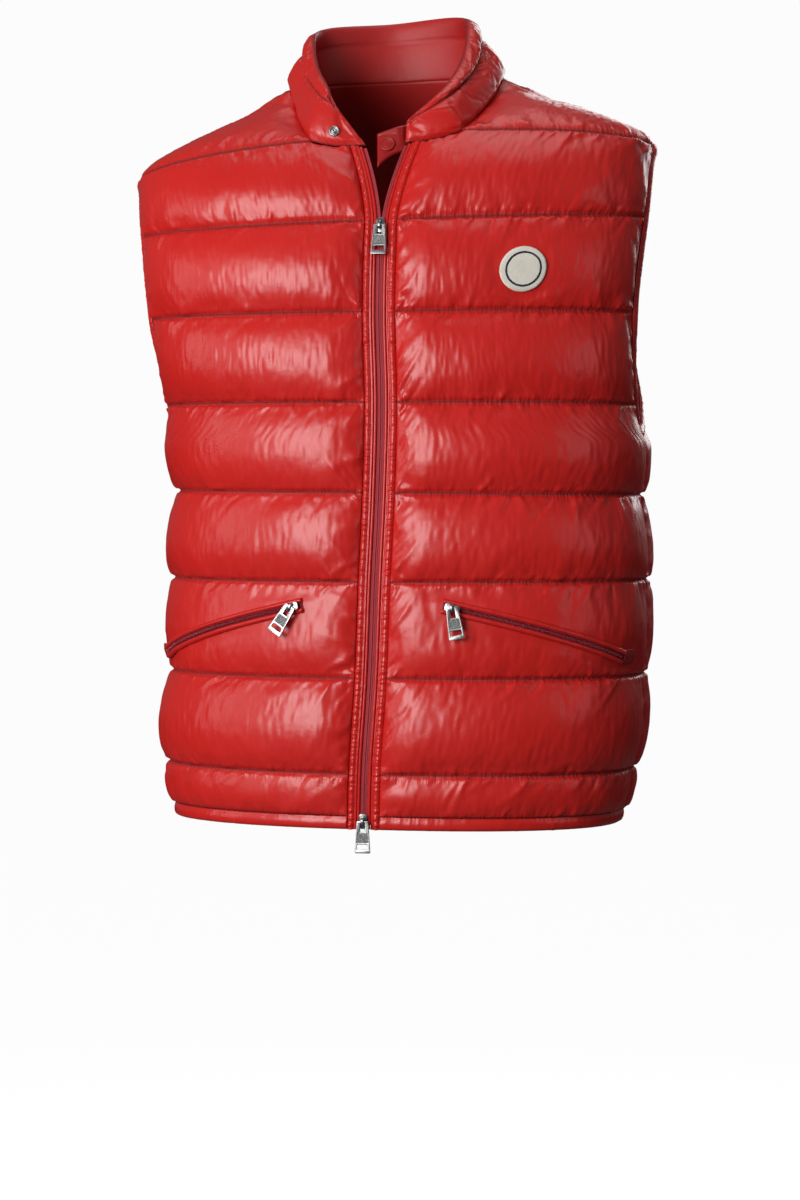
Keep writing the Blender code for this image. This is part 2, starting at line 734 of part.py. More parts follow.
def union(target, *others):
    """Joins helper solids to the target."""
    for other in others:
        other.hide_render = True
        other.display_type = "WIRE"
        joined = target.modifiers.new("join " + other.name, "BOOLEAN")
        joined.operation = "UNION"
        joined.object = other


def make_slider(name, place, body_turn):
    """Slider body with its bridge; the body may be turned under the bridge, along its own zip."""
    width, length, low, high = PLATE
    plate = block(name, width, length, low, high)
    turn = Matrix.Rotation(math.radians(body_turn), 4, "Z")
    plate.matrix_world = place @ turn
    stem = block(name + "_stem", *STEM, collection="helpers")
    stem.matrix_world = place @ turn
    half, top = BRIDGE_OUTER
    hole_half, hole_top = BRIDGE_INNER
    foot = high - 0.5
    arch = rounded_outline([(-half, foot), (half, foot), (half, top), (-half, top)], 0.4, 1)
    eye_foot = high - 0.001
    eye = [(-hole_half, eye_foot), (hole_half, eye_foot), (hole_half, hole_top), (-hole_half, hole_top)]
    bridge = outline_solid(name + "_bridge", [arch, eye], BRIDGE_WIDTH / 2, "helpers")
    upright = Matrix(((0, 0, 1, 0), (1, 0, 0, 0), (0, 1, 0, 0), (0, 0, 0, 1)))
    bridge.matrix_world = place @ upright
    union(plate, stem, bridge)
    return plate


def make_pull(name, place):
    """Pull tab hung from its bar, plumb or flat on the cloth; its origin lies on the bar."""
    top_half, low_half = PULL_HALF_WIDTHS
    end = -PULL_LENGTH
    corners = [(-top_half, PULL_BAR), (top_half, PULL_BAR), (low_half, end), (-low_half, end)]
    outline = rounded_outline(corners, 0.8, 2)
    eye_half, eye_top, eye_low = PULL_EYE
    eye = [(-eye_half, -eye_top), (eye_half, -eye_top), (eye_half, -eye_low), (-eye_half, -eye_low)]
    slot_half, slot_top, slot_low = PULL_SLOT
    low_half = slot_half + 0.5
    corners = [(-slot_half, -slot_top), (slot_half, -slot_top), (low_half, -slot_low), (-low_half, -slot_low)]
    slot = rounded_outline(corners, 1.0, 2)
    pull = outline_solid(name, [outline, eye, slot], PULL_THICKNESS / 2)
    hinge = bpy.data.objects.new(name + "_hinge", None)
    bpy.data.collections["helpers"].objects.link(hinge)
    hinge.matrix_world = place @ Matrix.Translation((0, 0, HINGE_HEIGHT * MM))
    pull.parent = hinge
    plumb = place.to_3x3().inverted() @ Vector((0, 0, -1))
    lift = max(0.0, math.atan2(plumb.z, -plumb.y))
    pull.matrix_basis = Matrix.Rotation(-lift, 4, "X")
    axis = place.to_3x3() @ Vector((-1, 0, 0))
    print(
        name,
        "hinge at",
        [round(value, 6) for value in hinge.matrix_world.translation],
        "axis",
        [round(value, 6) for value in axis],
        "lift",
        round(math.degrees(lift), 1),
    )


def make_snap(name, place, radius, height, finish, collection="puffer_vest"):
    """A round snap with a bevelled rim, standing on its place."""
    bm = bmesh.new()
    bmesh.ops.create_cone(
        bm, cap_ends=True, segments=20, radius1=radius * MM, radius2=radius * MM, depth=height * MM
    )
    bmesh.ops.translate(bm, vec=(0, 0, height / 2 * MM), verts=bm.verts)
    rim = [edge for edge in bm.edges if all(vert.co.z > height * 0.9 * MM for vert in edge.verts)]
    bmesh.ops.bevel(bm, geom=rim, offset=0.8 * MM, segments=2, profile=0.5, affect="EDGES", material=-1)
    mesh = bpy.data.meshes.new(name)
    bm.to_mesh(mesh)
    bm.free()
    made = add_object(name, mesh, finish, collection)
    made.matrix_world = place
    return made


def make_body(front, front_loft, back, back_loft):
    """The three quilted panels with the armhole bindings and the hem band."""
    panels = {"back": cloth("back", back, back_loft, SEAM_THICKNESS)}
    for side, word in ((1, "left"), (-1, "right")):
        panels[word] = cloth(word + "_front", mirrored(front, side), front_loft, SEAM_THICKNESS)
        binding = mirrored(binding_grid(front, back), side)
        cloth(word + "_armhole_binding", binding, 0, BINDING_THICKNESS, closed=True)
    band = []
    for z in (HEM, (HEM + HEM_BAND_TOP) / 2, HEM_BAND_TOP - SEAM_GAP):
        start = angle_at_x(z, PANEL_EDGE)
        band.append([section_point(z, a) for a in even_angles(z, start, 2 * math.pi - start, HEM_COLUMNS)])
    cloth("hem_band", band, np.outer((0.0, HEM_LOFT, 0.0), np.ones(HEM_COLUMNS + 1)), SEAM_THICKNESS)
    return panels


def make_front_strips():
    """On each side of the opening: zip half, piping and the gathered placket band."""
    for side, word in ((1, "left"), (-1, "right")):
        zip_half = mirrored(strip_beside_zip(*ZIP_STRIP, HEM + 4, NECK_FRONT - 2), side)
        cloth(word + "_front_zip", zip_half, 0, ZIP_THICKNESS, "crimson_tape")
        placket = mirrored(strip_beside_zip(*PLACKET, HEM, NECK_FRONT), side)
        cloth(word + "_placket", placket, 0, PLACKET_THICKNESS)
        middle = np.array(strip_beside_zip(PIPING_MIDDLE, PIPING_MIDDLE + 1, HEM, NECK_FRONT))[:, 0]
        lifted = middle + np.array((0.0, -PIPING_RISE, 0.0))
        tube(word + "_piping", mirrored(lifted, side), PIPING_RADIUS, "red_nylon")


def make_collar(front):
    """The collar, the tab on its left end, and the snap's cap and stud."""
    rows, loft = collar_grid(front)
    collar = cloth("collar", rows, loft, SEAM_THICKNESS)
    top_left, low_left, low_right, top_right = (np.array(corner, dtype=float) for corner in COLLAR_TAB)
    grid = []
    for v in np.linspace(0, 1, 5):
        row = []
        for u in np.linspace(0, 1, 6):
            x, z = (1 - v) * ((1 - u) * low_left + u * low_right) + v * ((1 - u) * top_left + u * top_right)
            y = section_point(min(z, SHOULDER_LINE), 0.0)[1]
            row.append((x, y - 0.5, z))
        grid.append(row)
    bulge = np.outer([0, 0.8, 1, 0.8, 0], [0, 0.8, 1, 1, 0.8, 0]) * TAB_BULGE
    tab = cloth("collar_tab", grid, bulge, TAB_THICKNESS - TAB_BULGE)
    for name, panel, x, z, size, finish in (
        ("snap_cap", tab, 3.5, -60.0, SNAP_CAP, "red_nylon"),
        ("snap_stud", collar, -43.0, -45.0, SNAP_STUD, "bright_metal"),
    ):
        target = stance((x, -70, z))
        hit, normal, _, _ = seen_panel(panel).ray_cast(target + Vector((0, -0.2, 0)), Vector((0, 1, 0)))
        place = frame_at(hit + normal * ON_PANEL * MM, normal, Vector((0, 0, -1)))
        make_snap(name, place, *size, finish)


def make_pockets(panels):
    """Each pocket's welts, closed zip and end tack, on its front panel."""
    trees = {}
    angles = np.linspace(*POCKET_ANGLES, POCKET_COLUMNS + 1)
    for side, word in ((1, "left"), (-1, "right")):
        trees[word] = seen_panel(panels[word])
        places = [(side * angle, pocket_height(angle)) for angle in angles]
        for strip, low, high, thickness in POCKET_STRIPS:
            finish = "crimson_tape" if strip == "zip" else "red_nylon"
            strip_on_panel(f"{word}_pocket_{strip}", trees[word], places, low, high, thickness, finish)
        ends = [(side * angle, POCKET_HEIGHTS[1]) for angle in np.linspace(*TACK_ANGLES, 3)]
        strip_on_panel(
            word + "_pocket_tack",
            trees[word],
            ends,
            -TACK_HALF_HEIGHT,
            TACK_HALF_HEIGHT,
            TACK_THICKNESS,
            "red_nylon",
            steps=3,
        )
    return trees


def make_sliders(trees):
    """The four sliders and their pulls: two on the front zip, one on each pocket zip."""
    for name, z, side, pull_turn in SLIDERS:
        if side:
            near = POCKET_ANGLES[0] + POCKET_SLIDER_ANGLE
            far = near + POCKET_SLIDER_ANGLE
            tree = trees["left" if side > 0 else "right"]
            hit, normal = on_panel(tree, math.radians(side * near), pocket_height(near))
            farther, _ = on_panel(tree, math.radians(side * far), pocket_height(far))
            origin = hit + normal * (ON_PANEL + POCKET_STRIPS[1][3]) * MM
            along = farther - hit
        else:
            low, high = (stance(section_point(z + step, 0.0)) for step in (-PLATE[1] / 2, PLATE[1] / 2))
            along = low - high
            normal = along.cross(Vector((1, 0, 0))).normalized()
            origin = (low + high) / 2 + normal * ZIP_THICKNESS * MM
        turned = Matrix.Rotation(math.radians(pull_turn), 3, normal)
        place = frame_at(origin, normal, turned @ Vector((0, 0, -1)))
        local = place.to_3x3().inverted() @ along
        body_turn = math.degrees(math.atan2(local.x, -local.y))
        make_slider(name + "_slider", place, body_turn)
        make_pull(name + "_pull", place)


def build():
    """Makes the vest in an empty scene."""
    for old in list(bpy.data.objects):
        bpy.data.objects.remove(old)
    for name in ("puffer_vest", "helpers"):
        bpy.context.scene.collection.children.link(bpy.data.collections.new(name))
    front, front_loft = front_grid()
    back, back_loft = back_grid()
    panels = make_body(front, front_loft, back, back_loft)
    make_front_strips()
    make_collar(front)
    trees = make_pockets(panels)
    patch_size = PATCH_RADIUS, PATCH_THICKNESS
    disc_on_panel("chest_patch", trees["left"], PATCH_ANGLE, PATCH_HEIGHT, *patch_size, "off_white_felt")
    make_sliders(trees)


build()
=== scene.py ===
# %% [markdown]
# # A red puffer vest, dressed over its frame
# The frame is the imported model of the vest: one plain, rigid solid for each piece that a maker would cut or
# sew on. This lesson puts the real look over it, piece by piece: down-filled nylon that is simulated with
# air pressure, gathered strips, a zip with a real coil, metal sliders and sewing thread. Loading the frame
# comes first, because every later piece takes its place from it. Nothing of the frame is moved or reshaped.

import json
import math

import bmesh
import bpy
import numpy as np
from mathutils import Matrix, Vector
from mathutils.bvhtree import BVHTree


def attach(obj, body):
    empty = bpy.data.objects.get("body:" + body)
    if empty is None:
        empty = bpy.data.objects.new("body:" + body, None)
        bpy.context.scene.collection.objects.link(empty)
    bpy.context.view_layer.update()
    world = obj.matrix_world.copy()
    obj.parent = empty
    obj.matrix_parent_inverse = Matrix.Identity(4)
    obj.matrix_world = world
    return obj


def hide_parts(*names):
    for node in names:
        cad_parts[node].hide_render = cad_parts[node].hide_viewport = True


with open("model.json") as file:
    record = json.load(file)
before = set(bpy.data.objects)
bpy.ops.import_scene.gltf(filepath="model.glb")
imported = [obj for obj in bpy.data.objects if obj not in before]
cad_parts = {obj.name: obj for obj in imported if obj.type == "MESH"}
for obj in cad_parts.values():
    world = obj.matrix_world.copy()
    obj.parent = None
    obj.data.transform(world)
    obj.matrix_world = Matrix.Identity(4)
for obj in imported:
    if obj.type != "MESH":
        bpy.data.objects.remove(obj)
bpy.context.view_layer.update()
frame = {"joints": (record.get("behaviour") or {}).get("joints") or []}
MM = 0.001

# %% [markdown]
# ## The camera
# A camera can be framed by shifting its film or by turning it. Turning is the better habit here: the same
# camera is later moved round the object, and a shift would then push the vest out of the middle. The
# camera stands 2.9 m away at chest height, a little to the wearer's left, with a 99 mm lens.

# %% Place the camera
CAMERA_TURN = math.radians(10.5)
CAMERA_DISTANCE = 2.9
CAMERA_LENS = 99.0
CAMERA_FOOT = Vector((0.016, 0.0, -0.34))
CAMERA_AIM = Vector((0.0073, 0.0, -0.45))

camera_data = bpy.data.cameras.new("camera")
camera_data.lens = CAMERA_LENS
camera = bpy.data.objects.new("camera", camera_data)
bpy.context.scene.collection.objects.link(camera)
away = Vector((math.sin(CAMERA_TURN), -math.cos(CAMERA_TURN), 0))
camera.location = CAMERA_FOOT + away * CAMERA_DISTANCE
camera.rotation_euler = (CAMERA_AIM - camera.location).to_track_quat("-Z", "Y").to_euler()
bpy.context.scene.camera = camera
print("camera at", [round(value, 3) for value in camera.location])

# %% [markdown]
# ## Floor and light
# Glossy nylon shows its light sources as pale streaks, so their size and place matter more than their
# power. One large soft box stands beside the camera at its own height, so each padded channel has a broad
# highlight on its front, and the others only lift the shadows. What the camera sees behind the vest is
# nearly white, but that would flood the red with white light, so a Light Path node gives every other ray a
# much dimmer surrounding. The floor is one big pale plane well below the hem, and glows in the same way.

# %% Make the studio
FLOOR_HEIGHT = -1.45
BACKDROP = 0.97
SURROUNDING = 0.12
FLOOR_GLOW = 0.95
FLOOR_GREY = (0.10, 0.10, 0.10, 1.0)
SOFT_BOXES = [
    # name, x, y, z, aim_z, width, height, power
    ("key", -1.05, -2.45, 0.10, -0.30, 1.3, 1.6, 66.0),
    ("left", -2.6, -1.2, 0.2, -0.35, 0.7, 1.8, 12.0),
    ("right", 2.7, -1.4, 0.3, -0.35, 0.8, 1.8, 6.0),
    ("top", 0.1, 0.1, 2.0, -0.20, 1.8, 1.4, 14.0),
    ("behind", 0.8, 2.6, 0.8, -0.25, 1.8, 1.6, 32.0),
]


def soft_box(name, place, aim_z, width, height, power):
    """An area light that faces the vest."""
    light = bpy.data.lights.new(name, "AREA")
    light.shape = "RECTANGLE"
    light.size, light.size_y, light.energy = width, height, power
    lamp = bpy.data.objects.new(name, light)
    lamp.location = place
    lamp.rotation_euler = (Vector((0, 0, aim_z)) - Vector(place)).to_track_quat("-Z", "Y").to_euler()
    bpy.context.scene.collection.objects.link(lamp)


for name, x, y, z, aim_z, width, height, power in SOFT_BOXES:
    soft_box(name, (x, y, z), aim_z, width, height, power)

world = bpy.data.worlds.new("studio")
world.use_nodes = True
nodes, links = world.node_tree.nodes, world.node_tree.links
rays = nodes.new("ShaderNodeLightPath")
glow = nodes.new("ShaderNodeMapRange")
glow.inputs["To Min"].default_value, glow.inputs["To Max"].default_value = SURROUNDING, BACKDROP
links.new(rays.outputs["Is Camera Ray"], glow.inputs["Value"])
links.new(glow.outputs["Result"], nodes["Background"].inputs["Strength"])
nodes["Background"].inputs["Color"].default_value = (1.0, 1.0, 1.0, 1.0)
bpy.context.scene.world = world
bpy.context.scene.view_settings.view_transform = "Standard"

floor_mesh = bpy.data.meshes.new("floor")
shape = bmesh.new()
bmesh.ops.create_grid(shape, x_segments=1, y_segments=1, size=30)
bmesh.ops.translate(shape, vec=(0, 0, FLOOR_HEIGHT), verts=shape.verts)
shape.to_mesh(floor_mesh)
shape.free()
floor = bpy.data.objects.new("floor", floor_mesh)
pale = bpy.data.materials.new("pale floor")
pale.use_nodes = True
floor_shader = pale.node_tree.nodes["Principled BSDF"]
floor_shader.inputs["Base Color"].default_value = FLOOR_GREY
floor_shader.inputs["Roughness"].default_value = 0.9
floor_rays = pale.node_tree.nodes.new("ShaderNodeLightPath")
pale.node_tree.links.new(floor_rays.outputs["Is Camera Ray"], floor_shader.inputs["Emission Color"])
floor_shader.inputs["Emission Strength"].default_value = FLOOR_GLOW
floor_mesh.materials.append(pale)
bpy.context.scene.collection.objects.link(floor)
print("lights:", len(SOFT_BOXES))

# %% [markdown]
# ## Shader maths as plain expressions
# A node tree is hard to read when every product and sum is a node placed by hand. The small class below
# wraps a socket, so that `1 - mask * 0.3` writes its own Math nodes. Any other node comes from `node`,
# which takes its type, its settings and what goes into its sockets.

# %% Wrap a socket
class Wire:
    """An output socket with arithmetic."""

    def __init__(self, finish, socket):
        self.finish = finish
        self.socket = socket

    def math(self, operation, *values):
        return self.finish.node("ShaderNodeMath", {"operation": operation}, dict(enumerate((self,) + values)))

    def __add__(self, other):
        return self.math("ADD", other)

    __radd__ = __add__

    def __mul__(self, other):
        return self.math("MULTIPLY", other)

    __rmul__ = __mul__

    def __sub__(self, other):
        return self.math("SUBTRACT", other)

    def __rsub__(self, other):
        return self * -1 + other

    def __truediv__(self, other):
        return self.math("DIVIDE", other)

    def __rtruediv__(self, other):
        return self.math("POWER", -1) * other

    def __pow__(self, other):
        return self.math("POWER", other)


class Finish:
    """A material whose nodes are written as calls."""

    def __init__(self, name):
        self.material = bpy.data.materials.new(name)
        self.material.use_nodes = True
        self.tree = self.material.node_tree
        self.shader = self.tree.nodes["Principled BSDF"]

    def node(self, kind, settings=None, inputs=None, output=0):
        made = self.tree.nodes.new(kind)
        for key, value in (settings or {}).items():
            if key == "stops":
                ramp = made.color_ramp.elements
                while len(ramp) < len(value):
                    ramp.new(0.5)
                for element, (place, colour) in zip(ramp, value):
                    element.position, element.color = place, colour
            else:
                setattr(made, key, value)
        for key, value in (inputs or {}).items():
            self.feed(made.inputs[key], value)
        return Wire(self, made.outputs[output])

    def feed(self, socket, value):
        if isinstance(value, Wire):
            self.tree.links.new(value.socket, socket)
        else:
            socket.default_value = value

    def set(self, **values):
        """Sets the shader's sockets: base_color means Base Color."""
        for key, value in values.items():
            self.feed(self.shader.inputs[key.replace("_", " ").title().replace("Ior", "IOR")], value)

    def place(self, scale=(1, 1, 1), turn=(0, 0, 0), kind="Object"):
        """Coordinates, scaled and turned."""
        found = self.node("ShaderNodeTexCoord", output=kind)
        return self.node("ShaderNodeMapping", {}, {"Vector": found, "Scale": scale, "Rotation": turn})

    def noise(self, place, scale, detail=2.0, roughness=0.5):
        return self.node(
            "ShaderNodeTexNoise", {}, {"Vector": place, "Scale": scale, "Detail": detail, "Roughness": roughness}
        )

    def mix(self, share, first, second):
        """A colour between two others."""
        inputs = {0: share, 6: first, 7: second}
        return self.node("ShaderNodeMix", {"data_type": "RGBA"}, inputs, output=2)

    def bump(self, height, distance, strength=1.0, under=None):
        inputs = {"Height": height, "Distance": distance, "Strength": strength}
        if under is not None:
            inputs["Normal"] = under
        return self.node("ShaderNodeBump", {}, inputs)


print("sockets wrapped")

# %% [markdown]
# ## The vest's own measurements
# A pattern cutter keeps a table of widths and depths at a few heights, and a smooth curve runs through
# them. The same tables gave the solids their form, in millimetres with the front facing -Y, so pieces
# worked out from them lie exactly on the frame. A second table turns and tilts the garment a little,
# because nobody stands quite straight.

# %% Tables of the body, the channels and the stance
HEM = -640.0
HEM_BAND_TOP = -628.0
SHOULDER_LINE = -52.0
SECTIONS = [
    # z, half_width, front, back, middle_y, squareness
    (-640, 195, 120, 116, 0, 2.30),
    (-592, 203, 127, 120, 0, 2.30),
    (-511, 206, 130, 117, 0, 2.30),
    (-430, 206, 130, 111, 0, 2.30),
    (-355, 200, 129, 109, 0, 2.35),
    (-300, 204, 128, 113, 0, 2.40),
    (-200, 219, 122, 119, 0, 2.40),
    (-126, 223, 109, 120, 0, 2.40),
    (-52, 221, 80, 108, 4, 2.40),
]
CHANNELS = [
    # top, bottom, loft
    (-52, -126, 10.5),
    (-126, -203, 11),
    (-203, -279, 11),
    (-279, -355, 11),
    (-355, -430, 11),
    (-430, -511, 8),
    (-511, -592, 11),
    (-592, -628, 6),
]
STANCE = [
    # z, tilt_degrees, shift, twist_degrees
    (-640, -0.2, 5, -3.0),
    (-592, -0.2, 8, -3.0),
    (-511, 0.0, 14, -3.0),
    (-430, 0.0, 16, -2.5),
    (-355, -0.5, 16, -1.0),
    (-279, -0.1, 13, 1.0),
    (-203, 0.5, 6, 3.0),
    (-126, 1.8, 5, 3.6),
    (-52, 3.4, 3, 5.0),
    (0, 2.2, 3, 5.5),
    (60, 1.8, -7, 5.5),
]


def smooth_table(rows):
    """A smooth curve through a table whose first column is the place along it."""
    table = np.array(rows, dtype=float)
    places, values = table[:, 0], table[:, 1:]
    slopes = np.gradient(values, places, axis=0)

    def value_at(place):
        place = np.asarray(place, dtype=float)
        row = np.clip(np.searchsorted(places, place) - 1, 0, len(places) - 2)
        span = (places[row + 1] - places[row])[..., None]
        t = np.clip((place - places[row])[..., None] / span, 0.0, 1.0)
        return (
            (2 * t**3 - 3 * t**2 + 1) * values[row]
            + (t**3 - 2 * t**2 + t) * span * slopes[row]
            + (3 * t**2 - 2 * t**3) * values[row + 1]
            + (t**3 - t**2) * span * slopes[row + 1]
        )

    return value_at


section_at = smooth_table(SECTIONS)
stance_at = smooth_table(STANCE)


def hung(points):
    """Points of the straight garment, in millimetres, as it hangs, in metres."""
    points = np.asarray(points, dtype=float)
    x, y, z = points[..., 0], points[..., 1], points[..., 2]
    tilt, shift, twist = np.moveaxis(stance_at(z), -1, 0)
    turn = np.radians(twist)
    turned_x, turned_y = x * np.cos(turn) - y * np.sin(turn), x * np.sin(turn) + y * np.cos(turn)
    return np.stack([turned_x + shift, turned_y, z + x * np.sin(np.radians(tilt))], axis=-1) * MM


def signed_power(value, power):
    return np.sign(value) * np.abs(value) ** power


def section_point(z, angle):
    """The wall's inner face at height z: angle 0 is the front, half pi the wearer's left side."""
    z, angle = np.broadcast_arrays(np.asarray(z, dtype=float), np.asarray(angle, dtype=float))
    half_width, front, back, middle, squareness = np.moveaxis(section_at(z), -1, 0)
    depth = np.where(np.cos(angle) > 0, front, back)
    x = half_width * signed_power(np.sin(angle), 2 / squareness)
    return np.stack([x, middle - depth * signed_power(np.cos(angle), 2 / squareness), z], axis=-1)


def angle_at_y(z, y):
    """The angle on the left side at which the section at height z passes y."""
    _, front, back, middle, squareness = section_at(z)
    depth = front if y < middle else back
    return math.acos(max(-1.0, min(1.0, signed_power((middle - y) / depth, squareness / 2))))


def angle_at_x(z, x):
    """The angle on the front at which the section at height z passes x."""
    half_width, squareness = section_at(z)[0], section_at(z)[4]
    return math.asin(signed_power(x / half_width, squareness / 2))


def lengths(row):
    """Length along a row of points up to each of them."""
    return np.concatenate([[0], np.cumsum(np.linalg.norm(np.diff(row, axis=0), axis=1))])


def even_points(points, count):
    """A polyline's points, spread again at equal lengths."""
    points = np.array(points, dtype=float)
    length = lengths(points)
    wanted = np.linspace(0, length[-1], count + 1)
    return np.stack([np.interp(wanted, length, points[:, axis]) for axis in range(3)], axis=1)


print("chest round:", round(lengths(section_point(-200, np.linspace(0, 2 * math.pi, 400)))[-1]), "mm")

# %% [markdown]
# ## Where the panels end
# Both fronts and the back are cut from flat cloth, so each has four edges: the zip or the side seam, the
# hem, the armhole, and the neckline with the shoulder seam. The armhole is an egg seen from the side. The
# rows of a panel run from edge to edge, and the yoke over the shoulder is a Coons patch, which bends one
# grid between four given edges.

# %% Edges of the panels
PANEL_EDGE = 14.1
ZIP_CLOSED_TO = -128.0
OPENING_AT_NECK = 19.5
ARMHOLE_MIDDLE_Z = -183.0
ARMHOLE_HALF_HEIGHT = 126.0
ARMHOLE_HALF_WIDTH = 62.0
ARMHOLE_MIDDLE_Y = 10.0
ARMHOLE_LEAN = 10.0
ARMHOLE_EGG = -0.05
UNDERARM = ARMHOLE_MIDDLE_Z - ARMHOLE_HALF_HEIGHT
SEAM_GAP = 0.3
NECK_SIDE = (93.0, 12.0, 0.0)
SHOULDER_TIP = (213.0, 20.0, -61.0)
NECK_BACK_RISE = 13.0
NECK_BACK_DEPTH = 64.0
NECK_SIDE_HANDLE = (15.0, 40.0, 15.0)
NECK_DIP = 7.0
NECK_FRONT = SHOULDER_LINE - NECK_DIP
SHOULDER_DIP = 17.0
SHOULDER_ROUNDING = (1.5, 0.0, 1.2)


def opening(z):
    """Half the gap between the two sides of the front zip."""
    share = max(0.0, (z - ZIP_CLOSED_TO) / (SHOULDER_LINE - ZIP_CLOSED_TO))
    return OPENING_AT_NECK * share**1.5


def side_y(z, side):
    """Where a panel ends at the side: on the armhole, or below it at the side seam."""
    if z <= UNDERARM + 0.01:
        return ARMHOLE_MIDDLE_Y - ARMHOLE_LEAN + side * SEAM_GAP / 2
    cosine = max(-1.0, min(1.0, (z - ARMHOLE_MIDDLE_Z) / ARMHOLE_HALF_HEIGHT))
    width = ARMHOLE_HALF_WIDTH * math.sqrt(1 - cosine**2) * (1 + ARMHOLE_EGG * cosine)
    return ARMHOLE_MIDDLE_Y + ARMHOLE_LEAN * cosine + side * (width + SEAM_GAP / 2)


def even_angles(z, start, end, count):
    """Angles that cut the section between start and end into equal lengths."""
    fine = np.linspace(start, end, 120)
    length = lengths(section_point(z, fine))
    return np.interp(np.linspace(0, length[-1], count + 1), length, fine)


def bend_between(start, handle, end, shares):
    """A quadratic curve from start to end, drawn towards handle."""
    t = np.asarray(shares, dtype=float)[:, None]
    start, handle, end = (np.array(point, dtype=float) for point in (start, handle, end))
    return (1 - t) ** 2 * start + 2 * t * (1 - t) * handle + t**2 * end


def coons(bottom, top, start, end, shares):
    """Rows between two edges, which also follow the two side edges."""
    across = lengths(bottom) / lengths(bottom)[-1]
    rows = []
    for v, share in enumerate(shares):
        ruled = (1 - share) * bottom + share * top
        sides = np.outer(1 - across, start[v]) + np.outer(across, end[v])
        first = (1 - share) * bottom[0] + share * top[0]
        last = (1 - share) * bottom[-1] + share * top[-1]
        rows.append(ruled + sides - np.outer(1 - across, first) - np.outer(across, last))
    return rows


def shoulder_seam(side, count):
    """Points of the shoulder seam from the neck out, half a gap to its front or back."""
    neck, tip = np.array(NECK_SIDE), np.array(SHOULDER_TIP)
    return neck + np.outer(np.linspace(0, 1, count + 1), tip - neck) + np.array((0, side * SEAM_GAP / 2, 0))


def shoulder_edge(start, side, shares):
    """The armhole edge from the shoulder line's end up to the shoulder seam."""
    tip = np.array(SHOULDER_TIP) + np.array((0, side * SEAM_GAP / 2, 0))
    handle = (start + tip) / 2 + np.array(SHOULDER_ROUNDING)
    return bend_between(start, handle, tip, shares)


def neck_side_edge(start, shares):
    """The neckline from the front of the shoulder line up to the shoulder seam."""
    handle = start + np.array(NECK_SIDE_HANDLE)
    return bend_between(start, handle, np.array(NECK_SIDE) - np.array((0, SEAM_GAP / 2, 0)), shares)


def neck_back_edge(count):
    """The neckline behind, from the right shoulder seam round to the left one."""
    x, y, z = NECK_SIDE
    turns = np.linspace(-math.pi / 2, math.pi / 2, 200)
    cosine = np.cos(turns)
    curve = np.stack([x * np.sin(turns), y + NECK_BACK_DEPTH * cosine, z + NECK_BACK_RISE * cosine], axis=1)
    return even_points(curve, count) + np.array((0, SEAM_GAP / 2, 0))


# %% [markdown]
# ## A panel as a grid of places
# A grid of the wall's inner face is kept with two more numbers for each point: how far the down lifts the
# cloth there, and how near the next line of stitches is. The rows that are sewn are kept too. Everything
# that follows, such as puckers and stitches, is placed by these. The rows crowd together near a sewn line,
# where the cloth turns sharply, and spread out in the middle of a channel. Down sinks, so each channel is a
# little fuller in its lower half.

# %% Fine grids of the two fronts and the back
ROW_STEP = 4.8
SEAM_CROWDING = 0.45
BELLY = 0.2
FRONT_COLUMNS = 117
FRONT_NECK_COLUMNS = 18
BACK_COLUMNS = 120
BACK_SHOULDER_COLUMNS = 25
YOKE_ROWS = 22
YOKE_LOFT = 10.0
YOKE_FADE = 60.0
LOFT_FADE = 26.0
SIDE_FADE = 48.0


def fade(length, start_reach, end_reach):
    """Share of the loft along a row, which falls to nothing at the seams at its ends."""
    from_start = np.sqrt(np.clip(length / start_reach, 0, 1))
    from_end = np.sqrt(np.clip((length[-1] - length) / end_reach, 0, 1))
    return np.minimum(from_start, from_end)


def channel_rows():
    """Heights from the hem band up, each with its loft and its distance from the nearest stitched line."""
    rows = []
    for top, bottom, loft in reversed(CHANNELS):
        count = round((top - bottom) / ROW_STEP)
        for step in range(count):
            turn = 2 * math.pi * step / count
            z = bottom + (top - bottom) * (turn - SEAM_CROWDING * math.sin(turn)) / (2 * math.pi)
            middle = (2 * z - top - bottom) / (top - bottom)
            full = loft * max(0.0, 1 - middle**2) ** 0.6 * (1 - BELLY * middle)
            rows.append((z, full, min(z - bottom, top - z)))
    return rows + [(SHOULDER_LINE, 0.0, 0.0)]


def dipped(z, share_out, neck_dip=0.0):
    """A row's height, which near the shoulder line dips towards the shoulder's tip and towards the zip."""
    line_below = CHANNELS[0][1]
    top_share = max(0.0, (z - line_below) / (SHOULDER_LINE - line_below))
    towards_zip = np.clip(1 - (np.asarray(share_out) * FRONT_COLUMNS / FRONT_NECK_COLUMNS) ** 2, 0, None)
    return z - top_share * (SHOULDER_DIP * np.asarray(share_out) ** 2 + neck_dip * towards_zip)


class Panel:
    """Inner points of a panel (millimetres), with the loft and the distance from stitches at each."""

    def __init__(self, name):
        self.name = name
        self.points, self.loft, self.from_stitch, self.sewn_rows = [], [], [], []

    def add(self, points, loft, from_stitch, skipped=0):
        if from_stitch < 0.01:
            self.sewn_rows.append(len(self.points))
        gone = np.full((skipped, 3), np.nan)
        self.points.append(np.vstack([gone, points]))
        self.loft.append(np.concatenate([np.zeros(skipped), np.broadcast_to(loft, len(points))]))
        self.from_stitch.append(np.full(skipped + len(points), from_stitch))

    def done(self):
        self.points, self.loft = np.array(self.points), np.array(self.loft)
        self.from_stitch = np.array(self.from_stitch)
        return self

    def mirrored(self, name):
        other = Panel(name)
        other.points = self.points * np.array((-1, 1, 1))
        other.loft, other.from_stitch, other.sewn_rows = self.loft, self.from_stitch, self.sewn_rows
        return other


